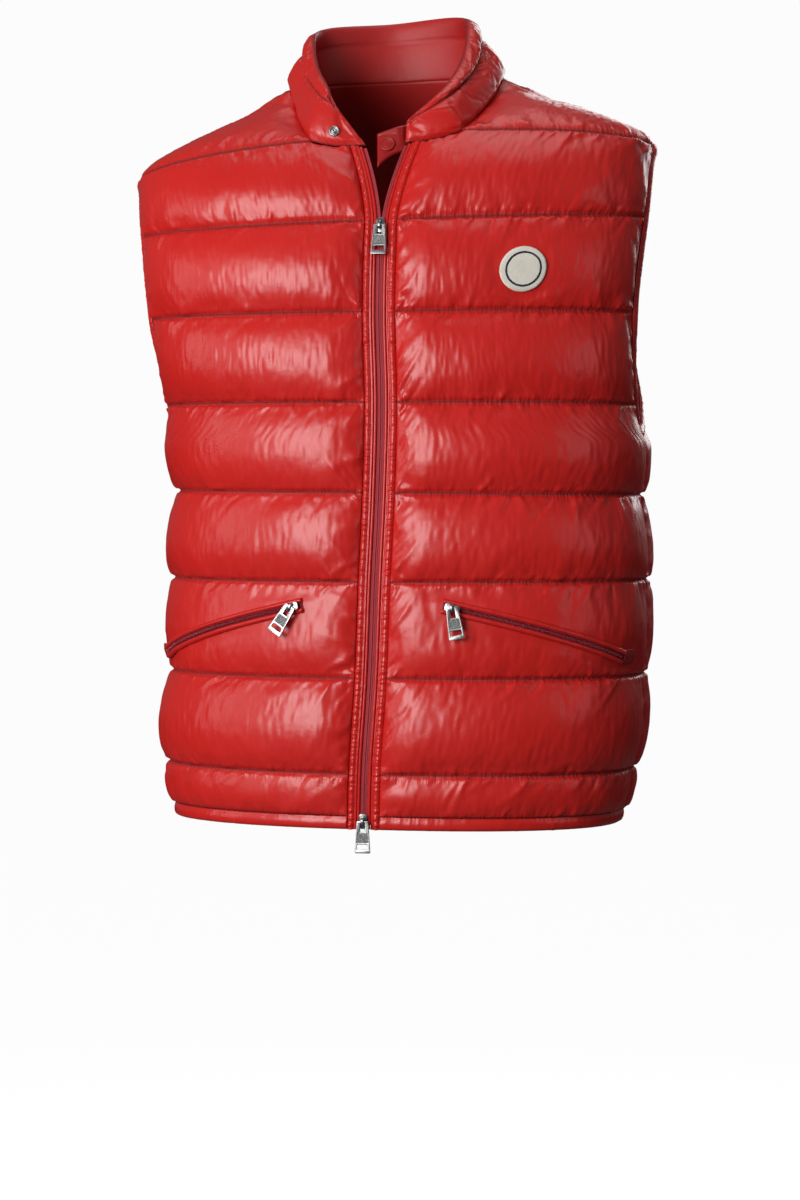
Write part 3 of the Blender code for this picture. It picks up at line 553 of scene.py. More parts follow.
def front_panel():
    """The left front: rows up to the shoulder line, then the yoke beside the collar."""
    panel = Panel("left_front")
    out = np.linspace(0, 1, FRONT_COLUMNS + 1)
    for z, loft, from_stitch in channel_rows():
        start_z, end_z = float(dipped(z, 0.0, NECK_DIP)), float(dipped(z, 1.0))
        start = angle_at_x(start_z, PANEL_EDGE + opening(start_z))
        angles = even_angles(z, start, angle_at_y(end_z, side_y(end_z, -1)), FRONT_COLUMNS)
        row = section_point(dipped(z, out, NECK_DIP), angles)
        panel.add(row, loft * fade(lengths(row), LOFT_FADE, SIDE_FADE), from_stitch)
    line = panel.points[-1]
    shares = np.linspace(0, 1, YOKE_ROWS + 1)
    seam = shoulder_seam(-1, FRONT_COLUMNS - FRONT_NECK_COLUMNS)
    neck = neck_side_edge(line[FRONT_NECK_COLUMNS], shares)
    yoke = coons(line[FRONT_NECK_COLUMNS:], seam, neck, shoulder_edge(line[-1], -1, shares), shares)
    middle = len(seam) // 2
    yoke_height = np.linalg.norm(seam[middle] - line[FRONT_NECK_COLUMNS + middle])
    for share, row in list(zip(shares, yoke))[1:]:
        loft = YOKE_LOFT * (1 - (2 * share - 1) ** 2) ** 0.6 * fade(lengths(row), YOKE_FADE, YOKE_FADE)
        panel.add(row, loft, yoke_height * min(share, 1 - share), FRONT_NECK_COLUMNS)
    return panel.done()


def back_panel():
    """The back, from the right side round to the left one, with its yoke up to the neckline."""
    panel = Panel("back")
    out = np.abs(np.linspace(-1, 1, BACK_COLUMNS + 1))
    for z, loft, from_stitch in channel_rows():
        end_z = float(dipped(z, 1.0))
        edge = angle_at_y(end_z, side_y(end_z, 1))
        row = section_point(dipped(z, out), even_angles(z, 2 * math.pi - edge, edge, BACK_COLUMNS))
        panel.add(row, loft * fade(lengths(row), SIDE_FADE, SIDE_FADE), from_stitch)
    line = panel.points[-1]
    shares = np.linspace(0, 1, YOKE_ROWS + 1)
    seam = shoulder_seam(1, BACK_SHOULDER_COLUMNS)
    across = np.array((-1, 1, 1))
    neck = neck_back_edge(BACK_COLUMNS - 2 * BACK_SHOULDER_COLUMNS)
    top = np.vstack([(seam[::-1] * across)[:-1], neck, seam[1:]])
    left_edge = shoulder_edge(line[-1], 1, shares)
    yoke_height = np.linalg.norm(neck[len(neck) // 2] - line[BACK_COLUMNS // 2])
    for share, row in list(zip(shares, coons(line, top, left_edge * across, left_edge, shares)))[1:]:
        loft = YOKE_LOFT * (1 - (2 * share - 1) ** 2) ** 0.6 * fade(lengths(row), LOFT_FADE, LOFT_FADE)
        panel.add(row, loft, yoke_height * min(share, 1 - share))
    return panel.done()


left_panel, rear_panel = front_panel(), back_panel()
right_panel = left_panel.mirrored("right_front")
print("grid points:", left_panel.loft.size, rear_panel.loft.size)

# %% [markdown]
# ## From a grid to a mesh
# `create_grid` makes the faces, and its vertices are then moved to the panel's points; those under the
# collar have no place and are deleted. The mesh keeps what the grid knew as marks on its vertices, such as
# the way along the cloth (u) and up it (v), and has a UV map of the cloth in metres for the materials.

# %% Grid meshes
def cloth_ways(points):
    """How far each grid point lies along its row (u), up the cloth (v) and from the row's end, in mm."""
    filled = np.array(points, dtype=float) / MM
    for row in range(1, len(filled)):
        empty = np.isnan(filled[row])
        filled[row][empty] = filled[row - 1][empty]
    along = np.linalg.norm(np.diff(filled, axis=1), axis=2)
    across = np.linalg.norm(np.diff(filled, axis=0), axis=2)
    u = np.pad(np.cumsum(along, axis=1), ((0, 0), (1, 0)))
    v = np.pad(np.cumsum(across.mean(axis=1)), (1, 0))[:, None] + np.zeros_like(u)
    return {"u": u, "v": v, "to_end": u[:, -1:] - u}


def add_grid(shape, points, marks=None, outward=None, material_index=0):
    """Adds a grid on rows of points in metres to a bmesh, facing outwards; returns its new vertices."""
    points = np.asarray(points, dtype=float)
    rows, columns = points.shape[0] - 1, points.shape[1] - 1
    uv = shape.loops.layers.uv.get("cloth") or shape.loops.layers.uv.new("cloth")
    marks = dict(cloth_ways(points), **(marks or {}))
    layers = {name: shape.verts.layers.float.get(name) or shape.verts.layers.float.new(name) for name in marks}
    made = bmesh.ops.create_grid(shape, x_segments=columns, y_segments=rows, size=0.5)["verts"]
    faces = list({face for vert in made for face in vert.link_faces})
    unused, kept = [], []
    for vert in made:
        row, column = round((vert.co.y + 0.5) * rows), round((vert.co.x + 0.5) * columns)
        if np.isnan(points[row, column, 0]):
            unused.append(vert)
            continue
        vert.co = points[row, column]
        kept.append(vert)
        for name, values in marks.items():
            vert[layers[name]] = values[row, column]
    bmesh.ops.delete(shape, geom=unused, context="VERTS")
    faces = [face for face in faces if face.is_valid]
    u, v = layers["u"], layers["v"]
    for face in faces:
        face.normal_update()
        face.material_index = material_index
        face.smooth = True
        for loop in face.loops:
            loop[uv].uv = loop.vert[u] * MM, loop.vert[v] * MM
    if outward is None:
        facing = sum(face.normal.xy.dot(face.calc_center_median().xy) for face in faces)
    else:
        facing = sum(face.normal.dot(Vector(outward)) for face in faces)
    if facing < 0:
        bmesh.ops.reverse_faces(shape, faces=faces)
    shape.normal_update()
    return kept


def piece_from(name, shape, *finishes):
    """A new object from a bmesh with its finishes; the bmesh is freed."""
    mesh = bpy.data.meshes.new(name)
    shape.to_mesh(mesh)
    shape.free()
    mesh.shade_smooth()
    made = bpy.data.objects.new(name, mesh)
    for finish in finishes:
        mesh.materials.append(finish)
    bpy.context.scene.collection.objects.link(made)
    return made


def settle(piece):
    """Applies a piece's modifiers: its evaluated mesh becomes its own."""
    bpy.context.view_layer.update()
    evaluated = piece.evaluated_get(bpy.context.evaluated_depsgraph_get())
    mesh = bpy.data.meshes.new_from_object(evaluated)
    piece.modifiers.clear()
    piece.data = mesh
    mesh.shade_smooth()
    return piece


def subdivided(piece):
    """Adds one level of subdivision and applies it."""
    finer = piece.modifiers.new("finer", "SUBSURF")
    finer.levels = finer.render_levels = 1
    finer.boundary_smooth = "PRESERVE_CORNERS"
    return settle(piece)


def read(piece, name):
    """A mark on all vertices, or their places (co), as an array; lengths in millimetres."""
    vertices = piece.data.vertices
    if name in ("co", "normal"):
        values = np.empty(len(vertices) * 3)
        source = vertices if name == "co" else piece.data.vertex_normals
        source.foreach_get("co" if name == "co" else "vector", values)
        return values.reshape(-1, 3) / (MM if name == "co" else 1)
    values = np.empty(len(vertices))
    piece.data.attributes[name].data.foreach_get("value", values)
    return values


def reshape(piece, places):
    """Moves all vertices to new places in millimetres."""
    piece.data.vertices.foreach_set("co", (places * MM).ravel())
    piece.data.update()


# %% [markdown]
# ## Down under pressure
# A down channel is two layers of thin cloth, sewn together along lines and pushed apart by the filling.
# Blender's cloth solver does the same: the sewn lines are pinned, air pressure pushes the rest outwards,
# and near the stitches the cloth is cut a few percent larger than its space (a negative shrink). Such
# spare cloth has nowhere to go but into soft folds. Gravity is off, and no point may move too far.

# %% Inflate a pinned shell
SIM_FRAMES = 16
CLOTH_MASS = 0.02
GATHER_REACH = 9.0
FARTHEST = 7.0


def inflate(piece, pinned, pressure, slack, gathered, bending):
    """Runs the cloth solver on an open shell; the pinned vertices (a true or false for each) stay."""
    start = read(piece, "co")
    group = piece.vertex_groups.new(name="sewn")
    group.add(np.flatnonzero(pinned).tolist(), 1.0, "REPLACE")
    spare = piece.vertex_groups.new(name="spare")
    for index, value in enumerate(read(piece, "from_stitch")):
        spare.add([index], math.exp(-value / GATHER_REACH), "REPLACE")
    down = piece.modifiers.new("down", "CLOTH")
    cloth = down.settings
    cloth.quality = 4
    cloth.mass = CLOTH_MASS
    cloth.tension_stiffness = cloth.compression_stiffness = 20
    cloth.shear_stiffness = 6
    cloth.bending_stiffness = bending
    cloth.air_damping = 2
    cloth.vertex_group_mass = "sewn"
    cloth.use_pressure = True
    cloth.uniform_pressure_force = pressure
    cloth.vertex_group_shrink = "spare"
    cloth.shrink_min, cloth.shrink_max = -slack, -gathered
    cloth.effector_weights.gravity = 0
    down.collision_settings.use_collision = False
    down.collision_settings.use_self_collision = False
    down.point_cache.frame_start, down.point_cache.frame_end = 1, SIM_FRAMES
    scene = bpy.context.scene
    for frame_number in range(1, SIM_FRAMES + 1):
        scene.frame_set(frame_number)
    settle(piece)
    scene.frame_set(1)
    piece.vertex_groups.clear()
    moved = read(piece, "co") - start
    far = np.linalg.norm(moved, axis=1, keepdims=True)
    reshape(piece, start + moved * np.minimum(1.0, FARTHEST / np.maximum(far, 1e-6)))
    return piece


# %% [markdown]
# ## Small folds, sewn one by one
# The solver's cells are too coarse for the fine puckers that stand on a line of stitches, so these are
# added one by one. A fold starts at the seam, leans a little, widens and dies away; its height, reach and
# spacing are drawn at random, with a fixed seed so that each run makes the same vest.

# %% Gathers along a seam
def gathers(along, away, seed, spacing, height, reach, width, lean=0.0, spread=0.3):
    """Height of the folds that leave a seam, at points so far along it and away from it (mm)."""
    random = np.random.default_rng(seed)
    risen = np.zeros_like(along)
    if not len(along):
        return risen
    place, end = along.min() - reach, along.max() + reach
    while place < end:
        place += spacing * random.uniform(0.5, 1.6)
        tall = height * random.uniform(0.25, 1.0) * (1 if random.random() < 0.6 else -0.7)
        far = reach * (0.25 + 0.75 * random.random() ** 2)
        slope = lean + random.normal(0, spread)
        curl = random.normal(0, 0.25) / reach
        broad = width * random.uniform(0.7, 1.4)
        near = np.flatnonzero((away < far) & (np.abs(along - place) < 4 * broad + (abs(slope) + 0.5) * far))
        out = away[near]
        aside = along[near] - place - slope * out - curl * out**2
        share = out / far
        fold = np.exp(-((aside / (broad * (0.55 + 0.9 * share))) ** 2))
        risen[near] += tall * fold * (0.2 + 0.8 * np.clip(out / 3.0, 0, 1)) * (1 - share**2) ** 2
    return risen


def raise_by(piece, heights):
    """Moves each vertex along its normal by so many millimetres."""
    reshape(piece, read(piece, "co") + read(piece, "normal") * heights[:, None])


# %% [markdown]
# ## Glossy nylon
# The shell cloth is a thin, calendered nylon: one strong red, with broad pale highlights because its gloss
# is not quite a mirror's. A full channel is nearly smooth, so the bump on it is shallow and slow. Its short
# streaks are finer than any mesh, so they are a bump too, and they are kept to a few millimetres beside the
# stitches, where the mark `from_stitch` is small. Right on a sewn line the cloth is drawn in and without
# gloss, and a painted shade makes it nearly black-red there, standing for the light that does not reach the
# bottom of the crease. The lining is the same cloth, but dull, and the tab at the collar is coloured a
# darker red.

# %% Nylon, matte lining and thread
RED = (0.60, 0.017, 0.013, 1.0)
SHADED_RED = (0.52, 0.012, 0.010, 1.0)
# Painted shade: the base colour at the bottom of each sewn crease, where no light reaches.
CREASE_SHADE_RED = (0.20, 0.004, 0.004, 1.0)
CREASE_WIDTH = 2.0
CREASE_DULLNESS = 0.6
STREAK_REACH = 9.0


def nylon(name, light=RED, dark=SHADED_RED, roughness=0.34, crinkle=1.0, gathered=True):
    """Shell cloth: fine crinkles everywhere, and short streaks across the stitches where it is gathered."""
    finish = Finish(name)
    body = finish.place()
    cloudy = finish.noise(body, 14.0, 3.0)
    colour = finish.mix(cloudy, dark, light)
    crumple = finish.noise(body, 65.0, 2.0, 0.45)
    normal = finish.bump(crumple * crinkle, 0.0006)
    rough = cloudy * 0.10 + (roughness - 0.05)
    if gathered:
        near = finish.node("ShaderNodeAttribute", {"attribute_name": "from_stitch"}, output=2)
        close = (1 - near / STREAK_REACH).math("MAXIMUM", 0.0) ** 2
        streaks = finish.noise(finish.place((1, 0.16, 1), kind="UV"), 330.0, 2.0)
        normal = finish.bump(streaks * close, 0.0022, under=normal)
        # Painted shade: within CREASE_WIDTH of a sewn line the base colour goes to a nearly black-red, for the light
        # that does not reach the crease bottom; the same band is also made rougher.
        crease = (1 - near / CREASE_WIDTH).math("MAXIMUM", 0.0)
        colour = finish.mix(crease, colour, CREASE_SHADE_RED)
        rough = rough + crease * CREASE_DULLNESS
    finish.set(
        base_color=colour,
        roughness=rough,
        specular_ior_level=0.46,
        normal=normal,
    )
    return finish.material


shell_nylon = nylon("shell nylon")
strip_nylon = nylon("strip nylon", roughness=0.30, gathered=False)
lining_nylon = nylon("lining nylon", SHADED_RED, (0.30, 0.008, 0.008, 1.0), 0.52, 0.8, gathered=False)
tab_nylon = nylon("tab nylon", (0.36, 0.009, 0.009, 1.0), (0.28, 0.007, 0.007, 1.0), 0.36, 0.6, gathered=False)
print("nylon finishes:", 4)

# %% [markdown]
# ## The three padded panels
# Each panel starts as its grid, raised by the loft, is puffed up by the solver and subdivided once, and
# gets its gathers. Under a pocket or the patch it is pressed back to the frame's own face, because the
# pieces sewn on there lie on it. Last it gets its lining, with a shallow quilt of its own, and a rim.

# %% Where something is sewn onto a panel
SEAM_THICKNESS = 3.4
POCKET_ANGLES = (13.5, 67.0)
POCKET_HEIGHTS = (-449.7, -494.0)
POCKET_END_REACH = 7.0
PATCH_ANGLE = 27.2
PATCH_HEIGHT = -170.0
PATCH_RADIUS = 18.5


FRAME_TREES = {
    node: BVHTree.FromObject(bpy.data.objects[node], bpy.context.evaluated_depsgraph_get())
    for node in ("left_front", "right_front", "collar", "collar_tab")
}
front_trees = {1: FRAME_TREES["left_front"], -1: FRAME_TREES["right_front"]}


def on_front(side, angle, z):
    """The point of a front's outer face at an angle and a height, and the way out from it, in metres."""
    angle = math.radians(angle * side)
    around = section_point(z, angle)
    away = np.array((math.sin(angle), -math.cos(angle), 0.0))
    outside, inside = Vector(hung(around + away * 60)), Vector(hung(around - away * 2))
    hit, normal, _, _ = front_trees[side].ray_cast(outside, (inside - outside).normalized())
    return hit, normal


def pocket_height(angle):
    """Height of the pocket zip's line at an angle in degrees."""
    return float(np.interp(abs(angle), POCKET_ANGLES, POCKET_HEIGHTS))


pocket_lines = {}
for side in (1, -1):
    angles = np.linspace(POCKET_ANGLES[0], POCKET_ANGLES[1] + POCKET_END_REACH, 64)
    pocket_lines[side] = np.array([on_front(side, angle, pocket_height(angle))[0] for angle in angles]) / MM
patch_middle = np.array(on_front(1, PATCH_ANGLE, PATCH_HEIGHT)[0]) / MM
print("pocket line:", round(lengths(pocket_lines[1])[-1]), "mm")

# %% Puff up the panels
PANEL_SETTINGS = {
    # name: seed, lean of the creases beside the zip, how unevenly they lean, and slant of the long folds
    "left_front": (11, 0.9, 0.4, -0.5),
    "right_front": (23, 0.3, 0.8, 0.9),
    "back": (37, 0.2, 0.5, 0.2),
}
SEAM_PINCH = 1.8
SEAM_PINCH_WIDTH = 1.5
PINCH_FADE = 6.0
POCKET_HOLD = 7.5
PATCH_HOLD = 19.0
HOLD_FADE = 9.0
LINING_QUILT = 1.6


def held_share(places, side):
    """How firmly something sewn on holds each place of a front: 1 under it, falling to 0 beside it."""
    if not side:
        return np.zeros(len(places))
    line = pocket_lines[side]
    apart = np.full(len(places), 1e3)
    for point in line:
        apart = np.minimum(apart, np.linalg.norm(places - point, axis=1))
    held = np.clip((POCKET_HOLD + HOLD_FADE - apart) / HOLD_FADE, 0, 1)
    if side > 0:
        apart = np.linalg.norm(places - patch_middle, axis=1)
        held = np.maximum(held, np.clip((PATCH_HOLD + HOLD_FADE - apart) / HOLD_FADE, 0, 1))
    return held


def press(piece, tree, held):
    """Presses the held places to just under the frame's outer face."""
    places = read(piece, "co")
    for index in np.flatnonzero(held > 0):
        hit, normal, _, _ = tree.find_nearest(Vector(places[index] * MM))
        target = np.array(hit - normal * 0.0004) / MM
        places[index] += (target - places[index]) * held[index] ** 0.7
    reshape(piece, places)


def close_with_lining(piece, panel):
    """Adds the lining on the panel's inner points and bridges it to the shell's rim."""
    shape = bmesh.new()
    shape.from_mesh(piece.data)
    quilt = LINING_QUILT * (panel.loft / panel.loft.max())
    verts = add_grid(shape, hung(panel.points), {"from_stitch": panel.from_stitch, "quilt": quilt}, None, 1)
    layer = shape.verts.layers.float["quilt"]
    for vert in verts:
        vert.co -= vert.normal * vert[layer] * MM
    bmesh.ops.reverse_faces(shape, faces=list({face for vert in verts for face in vert.link_faces}))
    rims = [edge for edge in shape.edges if edge.is_boundary]
    bridged = bmesh.ops.bridge_loops(shape, edges=rims)
    for face in bridged["faces"]:
        face.smooth = True
    open_edges = sum(not edge.is_manifold for edge in shape.edges)
    shape.to_mesh(piece.data)
    shape.free()
    return open_edges


def puckers(along, away, seed, strength, reach, slant):
    """Folds that leave a line of stitches: fine, short ones, fewer long ones that slant, and slow swells."""
    fine = gathers(along, away, seed, 5.0, 0.6 * strength, 13, 1.5)
    creases = gathers(along, away, seed + 500, 12.0, 1.8 * strength, reach, 3.0, slant, 0.45)
    return fine + creases + gathers(along, away, seed + 900, 34.0, 1.6, 60, 11.0, slant, 0.3)


def sewn_line_places(piece, lines):
    """The places along each sewn line of a shell, in order, with the ways out of the cloth."""
    u, v, on_line = read(piece, "u"), read(piece, "v"), read(piece, "from_stitch") < 0.01
    places, normals = read(piece, "co"), read(piece, "normal")
    found = []
    for line in lines:
        here = np.flatnonzero(on_line & (np.abs(v - line) < 0.5))
        here = here[np.argsort(u[here])]
        found.append((places[here], normals[here]))
    return found


def make_panel(panel, side, pressure, slack, gathered, bending):
    """A closed padded panel: simulated shell, sewn gathers, lining."""
    seed, lean, unevenness, slant = PANEL_SETTINGS[panel.name]
    shape = bmesh.new()
    verts = add_grid(shape, hung(panel.points), {"from_stitch": panel.from_stitch, "loft": panel.loft})
    loft = shape.verts.layers.float["loft"]
    random = np.random.default_rng(seed)
    for vert in verts:
        vert.co += vert.normal * (SEAM_THICKNESS + vert[loft] * random.uniform(0.85, 0.95)) * MM
    rim = np.array([vert.is_boundary for vert in shape.verts])
    piece = piece_from(panel.name + "_padding", shape, shell_nylon, lining_nylon)
    held = held_share(read(piece, "co"), side)
    pinned = rim | (read(piece, "from_stitch") < 0.01) | (held > 0.6)
    inflate(piece, pinned, pressure, slack, gathered, bending)
    subdivided(piece)
    lines = cloth_ways(hung(panel.points))["v"][panel.sewn_rows, 0]
    u, v, to_end = read(piece, "u"), read(piece, "v"), read(piece, "to_end")
    channel = np.clip(np.searchsorted(lines, v) - 1, 0, len(lines) - 2)
    heights = np.zeros(len(v))
    for number in range(len(lines) - 1):
        inside = channel == number
        over, under = v[inside] - lines[number], lines[number + 1] - v[inside]
        heights[inside] += puckers(u[inside], over, seed + 10 * number, 0.9, 22, 0.0)
        heights[inside] += puckers(u[inside], under, seed + 10 * number + 5, 0.8, 42, slant)
    heights += gathers(v, u, seed + 1, 9.0, 2.2, 42, 3.0, lean, unevenness)
    heights += gathers(v, to_end, seed + 2, 9.0, 1.4, 30, 3.0, 0.2, 0.5)
    from_stitch = read(piece, "from_stitch")
    from_edge = np.minimum(np.minimum(u, to_end), np.minimum(v - lines[0], lines[-1] - v))
    heights *= np.clip(np.minimum(from_stitch, from_edge) / 2.0, 0.25, 1)
    pinch = SEAM_PINCH * np.exp(-((from_stitch / SEAM_PINCH_WIDTH) ** 2))
    heights -= pinch * np.clip(from_edge / PINCH_FADE, 0, 1)
    held = held_share(read(piece, "co"), side)
    raise_by(piece, heights * (1 - held))
    if side:
        press(piece, front_trees[side], held)
    sewn_lines[panel.name] = sewn_line_places(piece, lines)
    open_edges = close_with_lining(piece, panel)
    print(piece.name, len(piece.data.polygons), "faces, open edges:", open_edges)
    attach(piece, "vest")
    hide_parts(panel.name)
    return piece


sewn_lines = {}
left_padding = make_panel(left_panel, 1, 4.0, 0.01, 0.08, 0.05)
right_padding = make_panel(right_panel, -1, 5.0, 0.005, 0.09, 0.04)
back_padding = make_panel(rear_panel, 0, 4.0, 0.01, 0.08, 0.05)

# %% [markdown]
# ## Strips swept along a seam
# Bindings, piping, welts and the hem band are narrow strips folded round an edge. Each is a cross-section
# carried along a row of stations: a grid again, with the section's points as its rows. Where the section
# is a ring, its ends are filled; where it is open, Solidify turns the strip into a thin, closed fold.

# %% Sweep a section
def smoothed(values, window, around=False):
    """A moving average along the first axis."""
    padded = np.pad(values, ((window, window), (0, 0)), "wrap" if around else "edge")
    if not around:
        padded[:window] = 2 * values[0] - values[1 : window + 1][::-1]
        padded[-window:] = 2 * values[-1] - values[-window - 1 : -1][::-1]
    kernel = np.ones(2 * window + 1) / (2 * window + 1)
    return np.stack([np.convolve(padded[:, axis], kernel, "valid") for axis in range(values.shape[1])], axis=1)


def unit(vectors):
    return vectors / np.linalg.norm(vectors, axis=-1, keepdims=True)


def swept(name, stations, across, outward, section, finish, ring=False, around=False, fold=0.0, sewn=None):
    """A strip: section rows (across, out) in mm at each station in metres; sewn adds gathers."""
    section = np.asarray(section, dtype=float) * MM
    points = stations + section[:, 0, None, None] * across + section[:, 1, None, None] * outward
    centre = points[:-1].mean(axis=0) if ring else points.mean(axis=0)
    shape = bmesh.new()
    add_grid(shape, points, {"column": np.broadcast_to(np.arange(len(stations)), points.shape[:2])})
    layer = shape.verts.layers.float["column"]
    middles = [Vector(point) for point in centre]
    if sum(vert.normal.dot(vert.co - middles[round(vert[layer])]) for vert in shape.verts) < 0:
        bmesh.ops.reverse_faces(shape, faces=shape.faces)
    if ring or around:
        bmesh.ops.remove_doubles(shape, verts=shape.verts, dist=0.00002)
    if ring and not around:
        bmesh.ops.holes_fill(shape, edges=[edge for edge in shape.edges if edge.is_boundary])
    piece = piece_from(name, shape, finish)
    if sewn:
        raise_by(piece, sewn(piece))
    if fold:
        wall = piece.modifiers.new("fold", "SOLIDIFY")
        wall.thickness = fold * MM
        wall.offset = -1
        settle(piece)
    return piece


def dressed(piece, slot="red_nylon", *nodes, body="vest"):
    """Says what a finished piece rides on and which nodes it replaces; the slot is not used."""
    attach(piece, body)
    if nodes:
        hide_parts(*nodes)
    return piece


# %% [markdown]
# ## Armhole bindings
# A bias strip is folded over the raw edges of the armhole and sewn down in one go, a little too long, so
# it gathers into fine ribs all the way round. Its stations are the edge points of the front and the back.

# %% Bind the armholes
BINDING_TURN = math.radians(12)
BINDING_STATIONS = 520
BINDING_SECTION = [
    # across, out
    (0.2, 3.7), (1.4, 3.9), (2.6, 4.5), (4.6, 4.9), (6.8, 4.6), (8.6, 3.7), (9.4, 2.3),
    (8.9, 0.9), (7.2, 0.0), (4.8, -0.3), (2.4, -0.1), (0.3, 0.3),
]
EDGE_LOOK_IN = 9
EDGE_LOOK_DOWN = 6
EDGE_LOOK_BELOW = 4


def armhole_stations():
    """Points round the left armhole's edge, with the ways across the binding and out from the body."""
    heights = [z for z, _, _ in channel_rows()]
    first = next(row for row, z in enumerate(heights) if z > UNDERARM + 0.01)
    front, back = left_panel.points, rear_panel.points
    rows = np.arange(first, len(front))
    rows_in = np.where(front[rows, -1, 2] < ARMHOLE_MIDDLE_Z, rows - EDGE_LOOK_DOWN, rows)
    bottom = (front[first - 1, -1] + back[first - 1, -1]) / 2
    bottom_in = (front[first - EDGE_LOOK_BELOW, -1] + back[first - EDGE_LOOK_BELOW, -1]) / 2
    edge = np.vstack([bottom, front[rows, -1], back[rows[::-1], -1], bottom])
    inside = np.vstack([bottom_in, front[rows_in, -EDGE_LOOK_IN], back[rows_in[::-1], -EDGE_LOOK_IN], bottom_in])
    length = lengths(edge)
    wanted = np.linspace(0, length[-1], BINDING_STATIONS + 1)[:-1]
    edge, inside = (
        np.stack([np.interp(wanted, length, line[:, axis]) for axis in range(3)], axis=1) for line in (edge, inside)
    )
    edge, inside = smoothed(edge, 5, around=True), smoothed(inside, 16, around=True)
    tangent = unit(np.roll(edge, -3, axis=0) - np.roll(edge, 3, axis=0))
    across = edge - inside
    across = unit(across - tangent * (across * tangent).sum(axis=1, keepdims=True))
    outward = np.cross(tangent, across)
    outward *= np.sign(outward[:, :1])
    turned = across * math.cos(BINDING_TURN) - outward * math.sin(BINDING_TURN)
    outward = outward * math.cos(BINDING_TURN) + across * math.sin(BINDING_TURN)
    edge += turned * 0.4
    return [np.vstack([line, line[:1]]) for line in (edge, turned, outward)]


def posed_frame(edge, across, outward):
    """Stations and their two directions, brought into the garment's stance."""
    placed = hung(edge)
    return placed, (hung(edge + across) - placed) / MM, (hung(edge + outward) - placed) / MM


def binding_gathers(piece):
    u, v = read(piece, "u"), read(piece, "v")
    return gathers(u, v, 71, 3.0, 0.75, 26, 0.85, 0.0, 0.10) + gathers(u, v, 72, 9.0, 0.5, 22, 2.2, 0.0, 0.3)


for side, word in ((1, "left"), (-1, "right")):
    mirror = np.array((side, 1, 1))
    stations = posed_frame(*(line * mirror for line in armhole_stations()))
    binding = swept(
        word + "_binding", *stations, BINDING_SECTION, strip_nylon, around=True, fold=0.5, sewn=binding_gathers
    )
    dressed(binding, "red_nylon", word + "_armhole_binding")

# %% [markdown]
# ## The hem band
# The hem is closed by the same kind of strip, 12 mm high, from one side of the zip all round to the other.
# It is sewn a little tighter than the panels, so it is ribbed by small vertical gathers.

# %% Close the hem
HEM_STATIONS = 880
HEM_SECTION = [
    # out, up from the hem
    (3.5, 11.6), (3.6, 10.8), (4.4, 9.0), (5.0, 6.0), (4.7, 3.0), (3.8, 0.9), (2.2, 0.0),
    (0.8, 0.4), (0.1, 2.6), (0.0, 6.5), (0.2, 11.4),
]


def hem_gathers(piece):
    u, v = read(piece, "u"), read(piece, "v")
    uneven = 0.55 + 0.45 * np.sin(u / 61) * np.sin(u / 23 + 1.0)
    return gathers(u, v, 81, 3.4, 0.8, 24, 0.95, 0.0, 0.12) * uneven + gathers(u, v, 82, 14, 0.7, 16, 3.5, 0, 0.4)


start = angle_at_x(HEM, PANEL_EDGE)
hem_line = section_point(HEM, even_angles(HEM, start, 2 * math.pi - start, HEM_STATIONS))
hem_along = unit(np.gradient(hem_line, axis=0))
hem_out = np.cross(hem_along, (0, 0, 1.0))
hem_out *= np.sign((hem_out * hem_line).sum(axis=1, keepdims=True))
hem_up = np.broadcast_to((0, 0, 1.0), hem_line.shape)
hem_band = swept(
    "hem_strip", *posed_frame(hem_line, hem_out, hem_up), HEM_SECTION, strip_nylon, fold=0.5, sewn=hem_gathers
)
dressed(hem_band, "red_nylon", "hem_band")

# %% [markdown]
# ## Beside the front zip
# From the middle out, each side of the zip has half of the zip, a thin piping that shines as one line, and
# a gathered placket band. The zip is a coil zip turned inside out: the outside shows only its flat tape,
# and the coil lies behind it, except in the open part, where its loops show along the edge.

# %% Placket bands and pipings
PIPING_MIDDLE = 4.6
PIPING_RADIUS = 1.25
PIPING_RISE = 1.9
PLACKET = (6.2, 13.8)
PLACKET_PROFILE = [
    # share across, thickness
    (0.0, 2.3), (0.06, 2.7), (0.2, 2.6), (0.26, 2.2), (0.34, 3.1), (0.5, 3.9), (0.68, 4.0),
    (0.84, 3.4), (0.93, 2.7), (1.0, 2.2),
]
RIB_STEP = 0.8


def beside_zip(z, x):
    """The inner face beside the front zip, x from its middle line."""
    return section_point(z, angle_at_x(z, x + opening(z)))


def thickened(name, rows, thickness, finish, sewn=None):
    """A closed strip on inner points in metres, thickened outwards by so many mm at each point."""
    shape = bmesh.new()
    add_grid(shape, rows, {"thickness": thickness})
    piece = piece_from(name, shape, finish)
    thick = read(piece, "thickness")
    if sewn:
        thick = np.maximum(thick + sewn(piece), 0.4)
    group = piece.vertex_groups.new(name="thickness")
    for index, value in enumerate(thick / thick.max()):
        group.add([index], value, "REPLACE")
    wall = piece.modifiers.new("wall", "SOLIDIFY")
    wall.thickness = thick.max() * MM
    wall.offset = 1
    wall.vertex_group = "thickness"
    settle(piece)
    piece.vertex_groups.clear()
    return piece


def placket_ribs(piece):
    u, v = read(piece, "u"), read(piece, "v")
    middle = np.clip(u - 1.6, 0, None)
    ribs = gathers(v, middle, 91, 3.1, 1.4, 22, 0.95, 0.0, 0.10) * (u > 1.7)
    return ribs + gathers(v, u, 92, 2.6, 0.18, 20, 0.7, 0, 0.05) + gathers(v, u, 93, 11, 0.4, 16, 3.0, 0, 0.3)


